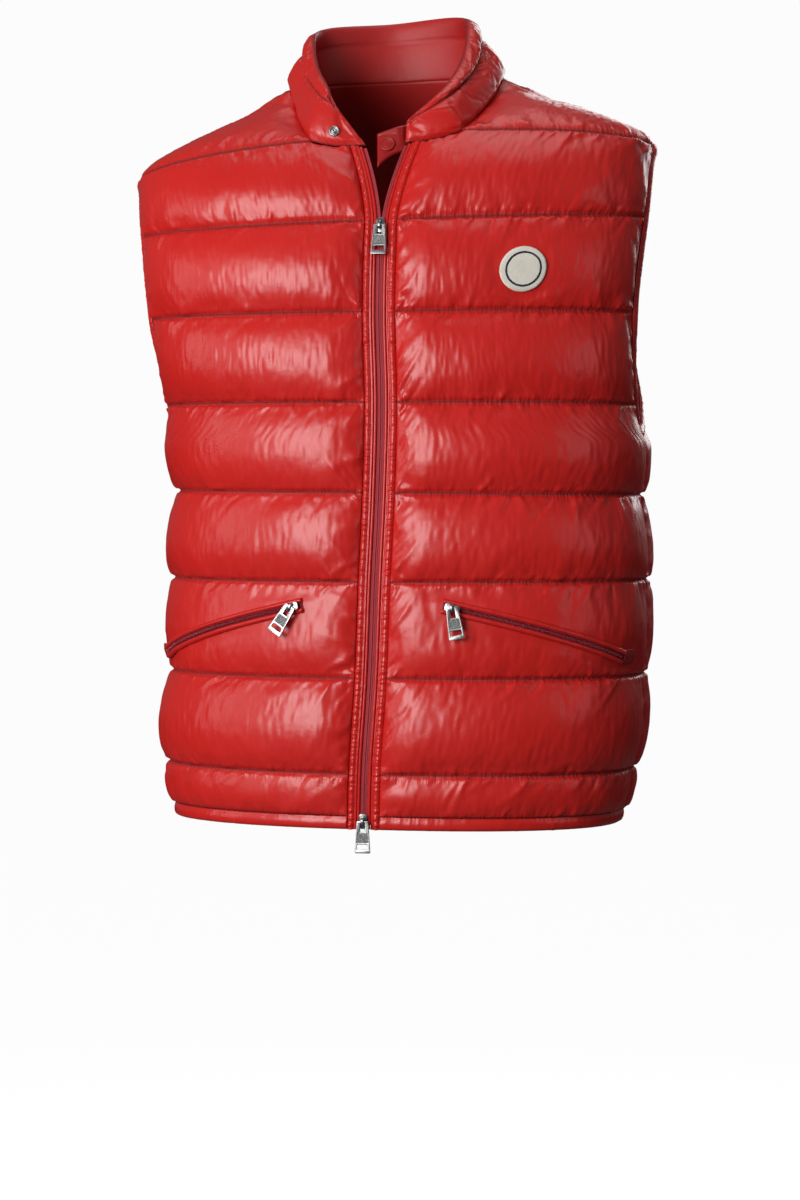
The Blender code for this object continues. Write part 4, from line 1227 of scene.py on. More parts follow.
def placket(side, word):
    shares, profile = np.array(PLACKET_PROFILE).T
    columns = np.linspace(0, 1, 17)
    heights = np.arange(HEM + 0.5, NECK_FRONT, RIB_STEP)
    xs = PLACKET[0] + (PLACKET[1] - PLACKET[0]) * columns
    rows = np.array([[beside_zip(z, x) for x in xs] for z in heights]) * np.array((side, 1, 1))
    thickness = np.broadcast_to(np.interp(columns, shares, profile), rows.shape[:2])
    made = thickened(word + "_placket_band", hung(rows), thickness, strip_nylon, placket_ribs)
    dressed(made, "red_nylon", word + "_placket")


def piping(side, word):
    heights = np.arange(HEM + 0.3, NECK_FRONT, 2.0)
    mirror = np.array((side, 1, 1))
    line = np.array([beside_zip(z, PIPING_MIDDLE) for z in heights]) + np.array((0, -PIPING_RISE, 0))
    turns = np.linspace(0, 2 * math.pi, 13)
    wobble = 1 + 0.05 * np.sin(heights / 2.3) * np.sin(heights / 7.1)
    section = np.stack([np.cos(turns), np.sin(turns)], axis=1) * PIPING_RADIUS
    ways = np.broadcast_to((1.0, 0, 0), line.shape), np.broadcast_to((0, -1.0, 0), line.shape)
    placed = posed_frame(line * mirror, ways[0] * wobble[:, None], ways[1] * wobble[:, None])
    made = swept(word + "_zip_piping", *placed, section, strip_nylon, ring=True)
    dressed(made, "red_nylon", word + "_piping")


for side, word in ((1, "left"), (-1, "right")):
    placket(side, word)
    piping(side, word)
print("placket bands and pipings: 4")

# %% [markdown]
# ## The zip's tape and coil
# Zip tape is woven, so it is matt and finely ribbed across; its coil is one bent plastic thread, so it
# shines. The loops are small rings, each with only a few faces, because there are hundreds of them. They
# are copied along the tape's edge into one mesh. The tape goes on under the piping and the placket band,
# where it is sewn in, so nothing can be seen through between them.

# %% Zip finishes, tapes and coils
def woven_tape():
    """Woven crimson tape with fine ribs along its length."""
    finish = Finish("woven tape")
    body = finish.place()
    cloudy = finish.noise(body, 40.0, 3.0)
    across = finish.node("ShaderNodeSeparateXYZ", {}, {0: finish.place(kind="UV")}, output=0)
    ribs = (across * (2 * math.pi / 0.0009)).math("SINE")
    fibres = finish.noise(finish.place((1, 3, 1), kind="UV"), 900.0, 2.0)
    finish.set(
        base_color=finish.mix(cloudy, (0.34, 0.02, 0.03, 1), (0.46, 0.03, 0.045, 1)),
        roughness=0.62,
        normal=finish.bump(ribs * 0.5 + fibres, 0.00025),
    )
    return finish.material


def plastic_thread(name, light, dark, roughness):
    """A smooth thread, a little uneven in colour."""
    finish = Finish(name)
    cloudy = finish.noise(finish.place(), 300.0, 2.0)
    twist = finish.noise(finish.place((1, 1, 4)), 1500.0, 1.0)
    finish.set(base_color=finish.mix(cloudy, dark, light), roughness=cloudy * 0.1 + roughness)
    finish.set(normal=finish.bump(twist, 0.0001))
    return finish.material


tape_finish = woven_tape()
coil_finish = plastic_thread("coil", (0.32, 0.014, 0.03, 1), (0.20, 0.008, 0.016, 1), 0.30)
thread_finish = plastic_thread("red thread", (0.42, 0.016, 0.014, 1), (0.28, 0.008, 0.008, 1), 0.5)
ZIP_STRIP = (0.15, 3.0)
TAPE_PROFILE = [(0.0, 1.5), (0.12, 1.75), (0.3, 1.7), (0.5, 1.35), (0.75, 1.2), (1.0, 1.2)]
TAPE_UNDER = (2.0, 15.0)
TAPE_UNDER_DEPTH = 0.8
TAPE_UNDER_THICKNESS = 0.6
COIL_PITCH = 1.35
LOOP_SIZE = (1.5, 0.75)
LOOP_WIRE = 0.28


LOOP_SIDES = 4
LOOP_STEPS = 8


def one_loop(size, wire):
    """A small oval ring in the XY plane, as a mesh: a spun circle of wire whose halves are moved apart."""
    shape = bmesh.new()
    made = bmesh.ops.create_circle(shape, segments=LOOP_SIDES, radius=wire * MM)["verts"]
    bmesh.ops.rotate(shape, cent=(0, 0, 0), matrix=Matrix.Rotation(math.pi / 2, 3, "X"), verts=made)
    bmesh.ops.translate(shape, vec=(size[1] * MM, 0, 0), verts=made)
    bmesh.ops.spin(
        shape, geom=shape.verts[:] + shape.edges[:], cent=(0, 0, 0), axis=(0, 0, 1), angle=2 * math.pi,
        steps=LOOP_STEPS, use_merge=True,
    )
    for direction in (1, -1):
        half = [vert for vert in shape.verts if vert.co.x * direction > wire * MM * 0.9]
        bmesh.ops.translate(shape, vec=(direction * (size[0] - size[1]) * MM, 0, 0), verts=half)
    bmesh.ops.recalc_face_normals(shape, faces=shape.faces)
    mesh = bpy.data.meshes.new("loop")
    shape.to_mesh(mesh)
    shape.free()
    return mesh


def repeated(name, mesh, places, finish):
    """Copies of a small mesh, one at each place (a matrix), as one piece; the small mesh is removed."""
    shape = bmesh.new()
    for place in places:
        before = len(shape.verts)
        shape.from_mesh(mesh)
        shape.verts.ensure_lookup_table()
        bmesh.ops.transform(shape, matrix=place, verts=shape.verts[before:])
    bpy.data.meshes.remove(mesh)
    return piece_from(name, shape, finish)


def places_of(stations, first, second, third):
    """A matrix for each station, from the ways that X, Y and Z take there."""
    found = []
    for station, *ways in zip(stations, unit(first), unit(second), unit(third)):
        place = Matrix([Vector(way) for way in ways]).transposed().to_4x4()
        place.translation = Vector(station)
        found.append(place)
    return found


def loops(name, stations, across, outward, size, wire, finish):
    """Small oval rings, one at each station."""
    along = np.cross(across, outward)
    return repeated(name, one_loop(size, wire), places_of(stations, across, outward, along), finish)


def zip_half(side, word):
    shares, profile = np.array(TAPE_PROFILE).T
    columns = np.linspace(0, 1, 9)
    heights = np.arange(HEM + 4, NECK_FRONT - 2, COIL_PITCH / 2)
    xs = ZIP_STRIP[0] + (ZIP_STRIP[1] - ZIP_STRIP[0]) * columns
    mirror = np.array((side, 1, 1))
    rows = np.array([[beside_zip(z, x) for x in xs] for z in heights]) * mirror
    ribs = 0.07 * np.cos(np.arange(len(heights)) * math.pi)[:, None] * np.clip(1.2 - columns * 2, 0, 1)
    made = thickened(word + "_zip_tape", hung(rows), np.interp(columns, shares, profile) + ribs, tape_finish)
    dressed(made, "crimson_tape", word + "_front_zip")
    heights = heights[::2]
    line = np.array([beside_zip(z, ZIP_STRIP[0] + 1.35) for z in heights]) * mirror + np.array((0, 0.6, 0))
    ways = np.broadcast_to((1.0, 0, 0), line.shape), np.broadcast_to((0, -1.0, 0), line.shape)
    coil = loops(word + "_zip_coil", *posed_frame(line, *ways), LOOP_SIZE, LOOP_WIRE, coil_finish)
    dressed(coil, "crimson_tape")
    heights = np.arange(HEM + 4, NECK_FRONT - 2, 4.0)
    xs = np.linspace(*TAPE_UNDER, 7)
    rows = np.array([[beside_zip(z, x) for x in xs] for z in heights]) + np.array((0, TAPE_UNDER_DEPTH, 0))
    thick = np.full(rows.shape[:2], TAPE_UNDER_THICKNESS)
    under = thickened(word + "_zip_tape_edge", hung(rows * mirror), thick, tape_finish)
    dressed(under, "crimson_tape")


for side, word in ((1, "left"), (-1, "right")):
    zip_half(side, word)
print("zip tapes and coils: 4")

# %% [markdown]
# ## Stitches
# A lockstitch shows as a row of short dashes of thread, one every 3 mm, each pulled a little into the cloth.
# There are thousands of them, so one dash is the coarsest UV sphere, with eight faces, stretched along the
# seam, and its copies are joined into one mesh for each panel or strip. An icosphere would be rounder, but
# needs twenty. The dashes on a panel follow its own sewn lines as they came out after the puckers, so none
# floats over the cloth.

# %% Sew along the seams
STITCH_STEP = 3.0
STITCH_SIZE = (2.1, 0.5, 0.4)
STITCH_RISE = 0.1
PLACKET_STITCH = (8.2, 2.25)
BINDING_STITCH = (1.4, 4.0)
HEM_STITCH = (3.75, 10.6)


def one_stitch():
    """One dash of thread along X, as a mesh."""
    shape = bmesh.new()
    made = bmesh.ops.create_uvsphere(shape, u_segments=4, v_segments=2, radius=MM / 2)["verts"]
    bmesh.ops.scale(shape, vec=STITCH_SIZE, verts=made)
    mesh = bpy.data.meshes.new("stitch")
    shape.to_mesh(mesh)
    shape.free()
    return mesh


def sew(name, lines):
    """Stitches along lines, each given by its places in mm and the ways out of the cloth there."""
    found = []
    for places, outward in lines:
        length = lengths(places)
        wanted = np.arange(STITCH_STEP, length[-1] - STITCH_STEP, STITCH_STEP)
        line, out = (
            np.stack([np.interp(wanted, length, way[:, axis]) for axis in range(3)], axis=1)
            for way in (places, outward)
        )
        along = unit(np.gradient(line, axis=0))
        out = unit(out - along * (out * along).sum(axis=1, keepdims=True))
        found += places_of((line + out * STITCH_RISE) * MM, along, np.cross(out, along), out)
    return dressed(repeated(name, one_stitch(), found, thread_finish), "red_nylon")


def strip_seam(edge, across, outward, place):
    """A seam on a strip, so far across it and out of it, in the garment's stance."""
    placed, _, out = posed_frame(edge + across * place[0] + outward * place[1], across, outward)
    return placed / MM, out


for name, lines in sewn_lines.items():
    sew(name + "_stitches", lines[1:-1])
seam_heights = np.arange(HEM + 14, NECK_FRONT - 3, 2.0)
placket_seam = np.array([beside_zip(z, PLACKET_STITCH[0]) for z in seam_heights])
to_the_front = np.broadcast_to((0.0, -1.0, 0.0), placket_seam.shape)
sideways = np.broadcast_to((1.0, 0.0, 0.0), placket_seam.shape)
for side, word in ((1, "left"), (-1, "right")):
    mirror = np.array((side, 1, 1))
    band = strip_seam(placket_seam * mirror, sideways, to_the_front, (0.0, PLACKET_STITCH[1]))
    binding_seam = strip_seam(*(line * mirror for line in armhole_stations()), BINDING_STITCH)
    sew(word + "_strip_stitches", [band, binding_seam])
sew("hem_stitches", [strip_seam(hem_line, hem_out, hem_up, HEM_STITCH)])
print("stitches on", len(sewn_lines), "panels and", 5, "strips")

# %% [markdown]
# ## The collar
# The stand collar is padded too, in two channels: a tall lower one and a narrow roll along its upper edge,
# gathered onto the seam between them. It is modelled like the panels. Its cross-section runs out to
# nothing at the upper edge and at the front ends, on the outside and on the inside, so the edge is round.

# %% Puff up the collar
COLLAR_TOP = [
    # along, x, y, z
    (-1.00, -48, -70, -17),
    (-0.79, -51, -58, -6),
    (-0.60, -62, -20, 18),
    (-0.42, -64, 18, 45),
    (-0.22, -56, 56, 60),
    (0.00, 0, 80, 65),
    (0.22, 58, 56, 65),
    (0.42, 68, 18, 52),
    (0.60, 62, -20, 21),
    (0.79, 44, -62, -14),
    (1.00, 17, -78, -40),
]
COLLAR_STEPS = (15, 10)
COLLAR_PLACES = 250
COLLAR_LOFTS = (5.8, 4.8)
COLLAR_BASE = (0.30, 0.15)
COLLAR_FADE = 70.0
COLLAR_SEAM_SHARE = (0.90, 0.66)
COLLAR_LIFT = (0.6, 2.0, -1.5)
ROUND_END = 4.0
collar_top_at = smooth_table(COLLAR_TOP)


def neckline():
    """The whole neckline, from the right front end round the back to the left one."""
    row = left_panel.sewn_rows[-2]
    line = left_panel.points[row]
    first_x = opening(NECK_FRONT) + ZIP_STRIP[0]
    start = section_point(NECK_FRONT, angle_at_x(NECK_FRONT, first_x))
    side_edge = neck_side_edge(line[FRONT_NECK_COLUMNS], np.linspace(0, 1, 13))
    left = np.vstack([start, line[:FRONT_NECK_COLUMNS], side_edge])
    whole = np.vstack([left * np.array((-1, 1, 1)), neck_back_edge(40)[1:-1], left[::-1]])
    return even_points(whole, COLLAR_PLACES)


def collar_grid():
    """Inner points, the shares of height, and the distance from the nearest seam, for the whole collar."""
    base = neckline()
    places = np.linspace(-1, 1, COLLAR_PLACES + 1)
    middle = 1 - np.abs(places)
    base = base + np.outer(np.interp(middle, (0.0, 0.5, 1.0), COLLAR_LIFT), (0, 0, 1))
    top = collar_top_at(places)
    seam = np.interp(middle, (0.0, 0.45), COLLAR_SEAM_SHARE)
    lower, upper = (np.linspace(0, 1, count + 1) for count in COLLAR_STEPS)
    shares = np.vstack([np.outer(lower, seam), seam + np.outer(upper[1:], 1 - seam)])
    points = base + (top - base) * shares[..., None]
    return base, points, shares, seam


def collar_offsets(points, shares, seam):
    """How far the outer and the inner face stand from the wall's inner points, in mm."""
    along = lengths(points[0])
    ends = fade(along, COLLAR_FADE, COLLAR_FADE)
    low = np.clip(shares / seam, 0, 1)
    high = np.clip((shares - seam) / (1 - seam), 0, 1)
    taper = np.interp(1 - np.abs(np.linspace(-1, 1, len(along))), (0.0, 0.3), (0.2, 1.0))
    loft = COLLAR_LOFTS[0] * (1 - (2 * low - 1) ** 2) ** 0.6
    loft = np.where(high > 0, COLLAR_LOFTS[1] * (1 - (1.7 * high - 0.85) ** 2) ** 0.5 * taper, loft) * ends
    rounded = np.sqrt(np.clip(1 - np.clip((high - 0.45) / 0.55, 0, 1) ** 2, 0.003, 1))
    from_end = np.minimum(along, along[-1] - along) / ROUND_END
    rounded = rounded * np.sqrt(np.clip(1 - np.clip(1 - from_end, 0, 1) ** 2, 0.003, 1))
    half = SEAM_THICKNESS / 2
    sewn_in = np.interp(low, (0.0, COLLAR_BASE[1]), (COLLAR_BASE[0], 1.0))
    return (half + (half + loft) * rounded) * sewn_in, half - (half + 0.25 * loft) * rounded


def make_collar():
    base, points, shares, seam = collar_grid()
    outer, inner = collar_offsets(points, shares, seam)
    seam_row = COLLAR_STEPS[0]
    v = cloth_ways(hung(points))["v"][:, 0]
    near = np.minimum(np.minimum(np.abs(v - v[0]), np.abs(v - v[seam_row])), v[-1] - v)
    marks = {"from_stitch": near[:, None] + np.zeros_like(outer), "offset": outer}
    shape = bmesh.new()
    verts = add_grid(shape, hung(points), marks)
    layer = shape.verts.layers.float["offset"]
    for vert in verts:
        vert.co += vert.normal * vert[layer] * MM
    rim = np.array([vert.is_boundary for vert in shape.verts])
    piece = piece_from("collar_padding", shape, shell_nylon, lining_nylon)
    inflate(piece, rim | (read(piece, "from_stitch") < 0.01), 0.8, 0.01, 0.08, 0.05)
    subdivided(piece)
    u, height = read(piece, "u"), read(piece, "v")
    over, under = height - v[seam_row], v[seam_row] - height
    folds = np.where(over > 0, gathers(u, np.abs(over), 301, 5.0, 1.3, 20, 1.9), 0)
    folds += np.where(under >= 0, gathers(u, np.abs(under), 302, 6.5, 1.1, 22, 2.2), 0)
    folds += gathers(u, height - v[0], 303, 8.0, 0.8, 20, 2.4) * (under > 0)
    folds += gathers(u, v[-1] - height, 304, 7.0, 0.7, 12, 2.0) * (over > 0)
    from_end = np.minimum(u, read(piece, "to_end"))
    raise_by(piece, folds * np.clip((from_end - 6) / 30, 0.05, 1) * np.clip(read(piece, "from_stitch") / 1.5, 0.3, 1))
    sew("collar_stitches", sewn_line_places(piece, [v[seam_row]]))
    shape = bmesh.new()
    shape.from_mesh(piece.data)
    verts = add_grid(shape, hung(points), {"from_stitch": marks["from_stitch"], "offset": inner}, None, 1)
    layer = shape.verts.layers.float["offset"]
    for vert in verts:
        vert.co += vert.normal * vert[layer] * MM
    bmesh.ops.reverse_faces(shape, faces=list({face for vert in verts for face in vert.link_faces}))
    bridged = bmesh.ops.bridge_loops(shape, edges=[edge for edge in shape.edges if edge.is_boundary])
    for face in bridged["faces"]:
        face.smooth = True
    print("collar: open edges", sum(not edge.is_manifold for edge in shape.edges), "faces", len(shape.faces))
    shape.to_mesh(piece.data)
    shape.free()
    dressed(piece, "red_nylon", "collar")
    return piece


collar_padding = make_collar()

# %% [markdown]
# ## The tab and its snap
# A short tab comes out from under the collar's left end and closes over to the right with a press snap. Its
# cap is covered with the same cloth: a flat disc in a rolled rim. The stud on the other end is bare metal, a
# ring with a dimple. The tab is a grid between four corners with a hollow lower edge, thickened outwards.

# %% Polished metal
def polished(name, colour, roughness, scratched):
    """Plated metal with faint, fine scratches and a slightly uneven polish."""
    finish = Finish(name)
    body = finish.place()
    cloudy = finish.noise(body, 160.0, 3.0)
    fine = finish.noise(finish.place((1, 1, 6)), 900.0, 3.0)
    finish.set(base_color=colour, metallic=1.0, roughness=cloudy * 0.10 + roughness)
    finish.set(normal=finish.bump(fine, scratched))
    return finish.material


bright_metal = polished("bright plated metal", (0.32, 0.32, 0.32, 1.0), 0.26, 0.00006)
worn_metal = polished("textured plated metal", (0.23, 0.23, 0.23, 1.0), 0.36, 0.0004)

# %% Make the tab, the cap and the stud
COLLAR_TAB = [
    # x, z
    (-8, -49),
    (-6, -80),
    (21.2, -67),
    (23.5, -40),
]
TAB_THICKNESS = 4.5
TAB_BULGE = 1.2
TAB_HOLLOW = 4.5
TAB_TUCK = (10.0, 17.5)
TAB_TUCK_DEPTH = 5.5
SNAP_CAP = [
    # radius, height
    (6.0, 0.0), (6.3, 0.5), (6.1, 1.2), (5.6, 1.45), (5.2, 1.1), (4.9, 1.0), (3.6, 1.35), (2.2, 1.55), (0.9, 1.62),
    (0.0, 1.63),
]
SNAP_STUD = [
    (4.5, 0.0), (4.6, 0.5), (4.3, 1.0), (3.7, 1.2), (3.1, 1.0), (2.8, 0.6), (2.2, 0.55), (1.8, 1.0), (1.9, 1.5),
    (1.5, 1.95), (0.8, 1.9), (0.5, 1.3), (0.0, 1.25),
]
SNAPS = [
    # name, node, on, x, z
    ("covered_snap_cap", "snap_cap", "collar_tab", 3.5, -60.0),
    ("ring_snap_stud", "snap_stud", "collar", -43.0, -45.0),
]
ON_PANEL = 0.8


def frame_at(origin, outward, down):
    """A place with Z along outward and -Y along down as nearly as that allows."""
    z_axis = outward.normalized()
    y_axis = -(down - z_axis * down.dot(z_axis)).normalized()
    place = Matrix((y_axis.cross(z_axis), y_axis, z_axis)).transposed().to_4x4()
    place.translation = origin
    return place


def turned(name, profile, place, finish, steps=40):
    """A shape turned from a profile of (radius, height) in mm about the place's Z axis."""
    shape = bmesh.new()
    path = [shape.verts.new((radius * MM, 0, height * MM)) for radius, height in profile]
    edges = [shape.edges.new(pair) for pair in zip(path, path[1:])]
    bmesh.ops.spin(
        shape, geom=path + edges, cent=(0, 0, 0), axis=(0, 0, 1), angle=2 * math.pi, steps=steps, use_merge=True
    )
    bmesh.ops.remove_doubles(shape, verts=shape.verts, dist=0.00001)
    bmesh.ops.holes_fill(shape, edges=[edge for edge in shape.edges if edge.is_boundary])
    bmesh.ops.recalc_face_normals(shape, faces=shape.faces)
    bmesh.ops.transform(shape, matrix=place, verts=shape.verts)
    return piece_from(name, shape, finish)


tab_corners = np.array(COLLAR_TAB, dtype=float)
shares = np.linspace(0, 1, 25)
tab_rows = []
for v in shares:
    low = tab_corners[1] + np.outer(shares, tab_corners[2] - tab_corners[1])
    high = tab_corners[0] + np.outer(shares, tab_corners[3] - tab_corners[0])
    row = low + (high - low) * v
    row[:, 1] += TAB_HOLLOW * np.sin(shares * math.pi) * (1 - v)
    face_y = section_point(np.minimum(row[:, 1], SHOULDER_LINE), 0.0)[:, 1]
    under = np.clip((row[:, 0] - TAB_TUCK[0]) / (TAB_TUCK[1] - TAB_TUCK[0]), 0, 1)
    tucked = TAB_TUCK_DEPTH * under**2 * (3 - 2 * under)
    tab_rows.append(np.stack([row[:, 0], face_y - 0.5 + tucked, row[:, 1]], axis=1))
across = np.minimum(shares, 1 - shares)
edge_share = np.minimum.outer(across, across)
border = np.clip(edge_share / 0.02, 0, 1) ** 0.5
groove = 0.45 * np.exp(-(((edge_share - 0.10) / 0.025) ** 2))
bulge = TAB_BULGE * np.clip(edge_share / 0.3, 0, 1) ** 0.6
tab_thickness = (TAB_THICKNESS - TAB_BULGE) * (0.55 + 0.45 * border) + bulge - groove
tab_piece = thickened("snap_tab", hung(np.array(tab_rows)), tab_thickness, tab_nylon)
subdivided(tab_piece)
dressed(tab_piece, "red_nylon", "collar_tab")

for name, node, on, x, z in SNAPS:
    target = Vector(hung((x, -70, z)))
    hit, normal, _, _ = FRAME_TREES[on].ray_cast(target + Vector((0, -0.2, 0)), Vector((0, 1, 0)))
    place = frame_at(hit + normal * ON_PANEL * MM, normal, Vector((0, 0, -1)))
    metal = node == "snap_stud"
    snap = turned(name, SNAP_STUD if metal else SNAP_CAP, place, bright_metal if metal else tab_nylon)
    dressed(snap, "bright_metal" if metal else "red_nylon", node)
print("collar, tab and snaps made")

# %% [markdown]
# ## Pocket zips
# Each slanted pocket has a coil zip between two round lips of folded cloth, and a satin-stitched bar tack
# at its outer end, which takes the strain. All of it follows the face of the front it is sewn on.

# %% Sew on the pockets
POCKET_STATIONS = 170
LIPS = [
    # name, from the line, direction
    ("upper_welt", 2.6, 1),
    ("lower_welt", -2.6, -1),
]
LIP_SECTION = [
    # across, out
    (-0.1, -0.9), (-0.2, 0.6), (0.1, 1.7), (1.0, 2.5), (2.1, 2.5), (3.1, 1.6), (3.7, 0.4), (3.9, -0.9),
]
BED_SECTION = [(-2.9, -0.8), (-2.9, 0.25), (2.9, 0.25), (2.9, -0.8)]
POCKET_LOOP = (1.75, 0.6)
TACK_HALF_HEIGHT = 6.2
TACK_ANGLES = (67.5, 73.3)


def pocket_stations(side):
    """Stations on the pocket's line, with the ways up across it and out of the cloth."""
    rows = []
    for angle in np.linspace(*POCKET_ANGLES, POCKET_STATIONS):
        z = pocket_height(angle)
        hit, normal = on_front(side, angle, z)
        above, _ = on_front(side, angle, z + 3)
        below, _ = on_front(side, angle, z - 3)
        rows.append((*(hit + normal * ON_PANEL * MM), *(above - below), *normal))
    rows = smoothed(np.array(rows), 5)
    line, up, outward = rows[:, :3], rows[:, 3:6], unit(rows[:, 6:])
    along = unit(np.gradient(line, axis=0))
    up = unit(up - along * (up * along).sum(axis=1, keepdims=True))
    return line, up, unit(outward - up * (outward * up).sum(axis=1, keepdims=True))


def lip_gathers(piece):
    u, v = read(piece, "u"), read(piece, "v")
    return gathers(u, v, 401, 4.5, 0.25, 24, 1.4, 0.0, 0.2)


for side, word in ((1, "left"), (-1, "right")):
    line, up, outward = pocket_stations(side)
    for name, offset, direction in LIPS:
        section = [(offset + direction * across, out) for across, out in LIP_SECTION + LIP_SECTION[:1]]
        lip = swept(
            f"{word}_pocket_{name.replace('welt', 'lip')}", line, up, outward, section, strip_nylon, ring=True,
            sewn=lip_gathers,
        )
        dressed(lip, "red_nylon", f"{word}_pocket_{name}")
    bed = swept(f"{word}_pocket_tape", line, up, outward, BED_SECTION + BED_SECTION[:1], tape_finish, ring=True)
    dressed(bed, "crimson_tape", f"{word}_pocket_zip")
    length = lengths(line)
    wanted = np.arange(1.0 * MM, length[-1], COIL_PITCH * MM)
    spread = [np.stack([np.interp(wanted, length, way[:, axis]) for axis in range(3)], axis=1) for way in (line, up, outward)]
    spread[0] = spread[0] + spread[2] * 0.75 * MM
    coil = loops(word + "_pocket_coil", *spread, POCKET_LOOP, LOOP_WIRE, coil_finish)
    dressed(coil, "crimson_tape")
    rows = []
    for offset in np.linspace(-TACK_HALF_HEIGHT, TACK_HALF_HEIGHT, 25):
        row = [on_front(side, angle, POCKET_HEIGHTS[1] + offset) for angle in np.linspace(*TACK_ANGLES, 41)]
        rows.append([hit + normal * ON_PANEL * MM for hit, normal in row])
    satin = 1.5 + 0.35 * np.cos(np.arange(41) * math.pi / 2) + np.zeros((25, 1))
    satin[:2] *= 0.8
    satin[-2:] *= 0.8
    tack = thickened(word + "_bar_tack", np.array([[tuple(point) for point in row] for row in rows]), satin, thread_finish)
    dressed(tack, "red_nylon", word + "_pocket_tack")
print("pockets sewn on: 2")

# %% [markdown]
# ## The chest patch
# A felt patch with rounded edges, plain but for an embroidered ring. Satin stitch is a row of threads laid
# side by side, so the ring is a low bulge with fine ribs across it. Felt is matt and fluffy: its bump is
# a tangle of short fibres.

# %% Make the patch
PATCH_RINGS = [
    # share of radius, height
    (0.02, 1.3), (0.15, 1.3), (0.3, 1.3), (0.45, 1.3), (0.6, 1.3), (0.72, 1.3), (0.82, 1.3), (0.9, 1.3),
    (0.955, 1.2), (0.985, 0.95), (1.0, 0.55), (1.0, -0.6),
]
PATCH_TURNS = 120
RING_RADIUS = 13.6
RING_SECTION = [(-0.95, -0.25), (-0.8, 0.2), (-0.3, 0.42), (0.3, 0.42), (0.8, 0.2), (0.95, -0.25)]


def felt():
    """Off-white felt, fluffy and a little uneven."""
    finish = Finish("off-white felt")
    body = finish.place()
    cloudy = finish.noise(body, 220.0, 3.0)
    fibres = finish.noise(finish.place((1, 1, 0.6)), 1400.0, 4.0, 0.7)
    finish.set(
        base_color=finish.mix(cloudy, (0.66, 0.62, 0.52, 1), (0.76, 0.73, 0.65, 1)),
        roughness=0.92,
        normal=finish.bump(fibres, 0.0003),
    )
    return finish.material


felt_finish = felt()
navy_thread = plastic_thread("navy thread", (0.010, 0.016, 0.045, 1), (0.005, 0.008, 0.022, 1), 0.45)
radian_length = np.linalg.norm(
    section_point(PATCH_HEIGHT, math.radians(PATCH_ANGLE + 0.5)) - section_point(PATCH_HEIGHT, math.radians(PATCH_ANGLE - 0.5))
) / math.radians(1)


def patch_places(radii):
    """Rings of points on the chest, at so many mm from the patch's middle, with the ways out."""
    turns = np.linspace(0, 2 * math.pi, PATCH_TURNS + 1)
    places, ways = [], []
    for radius in radii:
        found = [
            on_front(
                1, PATCH_ANGLE + math.degrees(radius * math.cos(a) / radian_length), PATCH_HEIGHT + radius * math.sin(a)
            )
            for a in turns
        ]
        places.append([tuple(hit) for hit, _ in found])
        ways.append([tuple(normal) for _, normal in found])
    return np.array(places), unit(np.array(ways))


radii = np.array([share * PATCH_RADIUS for share, _ in PATCH_RINGS])
places, _ = patch_places(radii)
middle_normal = Vector(unit(np.mean([tuple(on_front(1, PATCH_ANGLE + d, PATCH_HEIGHT)[1]) for d in (-4, 0, 4)], axis=0)))
heights = np.array([height for _, height in PATCH_RINGS])[:, None, None]
shape = bmesh.new()
add_grid(shape, places + np.array(middle_normal) * (heights + ON_PANEL) * MM, outward=middle_normal)
bmesh.ops.remove_doubles(shape, verts=shape.verts, dist=0.00002)
bmesh.ops.holes_fill(shape, edges=[edge for edge in shape.edges if edge.is_boundary])
bmesh.ops.smooth_vert(shape, verts=[vert for vert in shape.verts if len(vert.link_edges) == 4], factor=0.4)
patch = piece_from("chest_badge", shape, felt_finish)
dressed(patch, "off_white_felt", "chest_patch")
ring_line = patch_places([RING_RADIUS])[0][0] + np.array(middle_normal) * (ON_PANEL + 1.3) * MM
ring_across = unit(ring_line - ring_line[:-1].mean(axis=0))
ring_out = np.broadcast_to(np.array(middle_normal), ring_line.shape)
shares = np.arange(0, 1.0001, 1 / (PATCH_TURNS * 3))
fine = [np.stack([np.interp(shares, np.linspace(0, 1, PATCH_TURNS + 1), way[:, a]) for a in range(3)], axis=1) for way in (ring_line, ring_across, ring_out)]
ribbed = 1 + 0.12 * np.cos(np.arange(len(shares)) * math.pi)
ring = swept(
    "badge_ring", fine[0], fine[1], fine[2] * ribbed[:, None], RING_SECTION, navy_thread, around=True
)
dressed(ring, "off_white_felt")
print("patch:", 2 * PATCH_RADIUS, "mm across")

# %% [markdown]
# ## Sliders
# A slider body is a small casting: a wide plate with rounded shoulders and a bridge over it, under which
# the pull's bar turns. Its place is worked out from the zip it runs on, as the frame's own slider was, and
# the distance from its bar to the frame's hinge is printed, which has to be next to nothing.

# %% Cast the sliders
HINGE_HEIGHT = 5.35
SLIDER_OUTLINE = [
    # half width, along the zip
    (1.6, 6.6), (2.9, 6.1), (3.8, 4.6), (3.7, 2.4), (2.9, 0.0), (2.7, -2.6), (2.9, -4.6), (2.5, -6.1), (1.4, -6.6),
]
PLATE = (2.6, 3.8)
STEM = (4.0, 10.6, 0.5, 2.8)
BRIDGE = [
    # along, height
    (-3.6, 3.2), (-3.6, 5.4), (-3.2, 6.9), (-2.0, 7.75), (2.0, 7.75), (3.2, 6.9), (3.6, 5.4), (3.6, 3.2),
]
BRIDGE_SPAN = (2.3, 6.9)
BRIDGE_HALF_WIDTH = 1.2
FRONT_SLIDERS = {"top": -131.0, "bottom": -632.0}
POCKET_SLIDERS = {"right_pocket": (-1, -33.0), "left_pocket": (1, 10.0)}
POCKET_SLIDER_ANGLE = 2.2
ZIP_THICKNESS = 1.4
POCKET_ZIP_THICKNESS = 1.2
SLIDER_LENGTH = 13.0


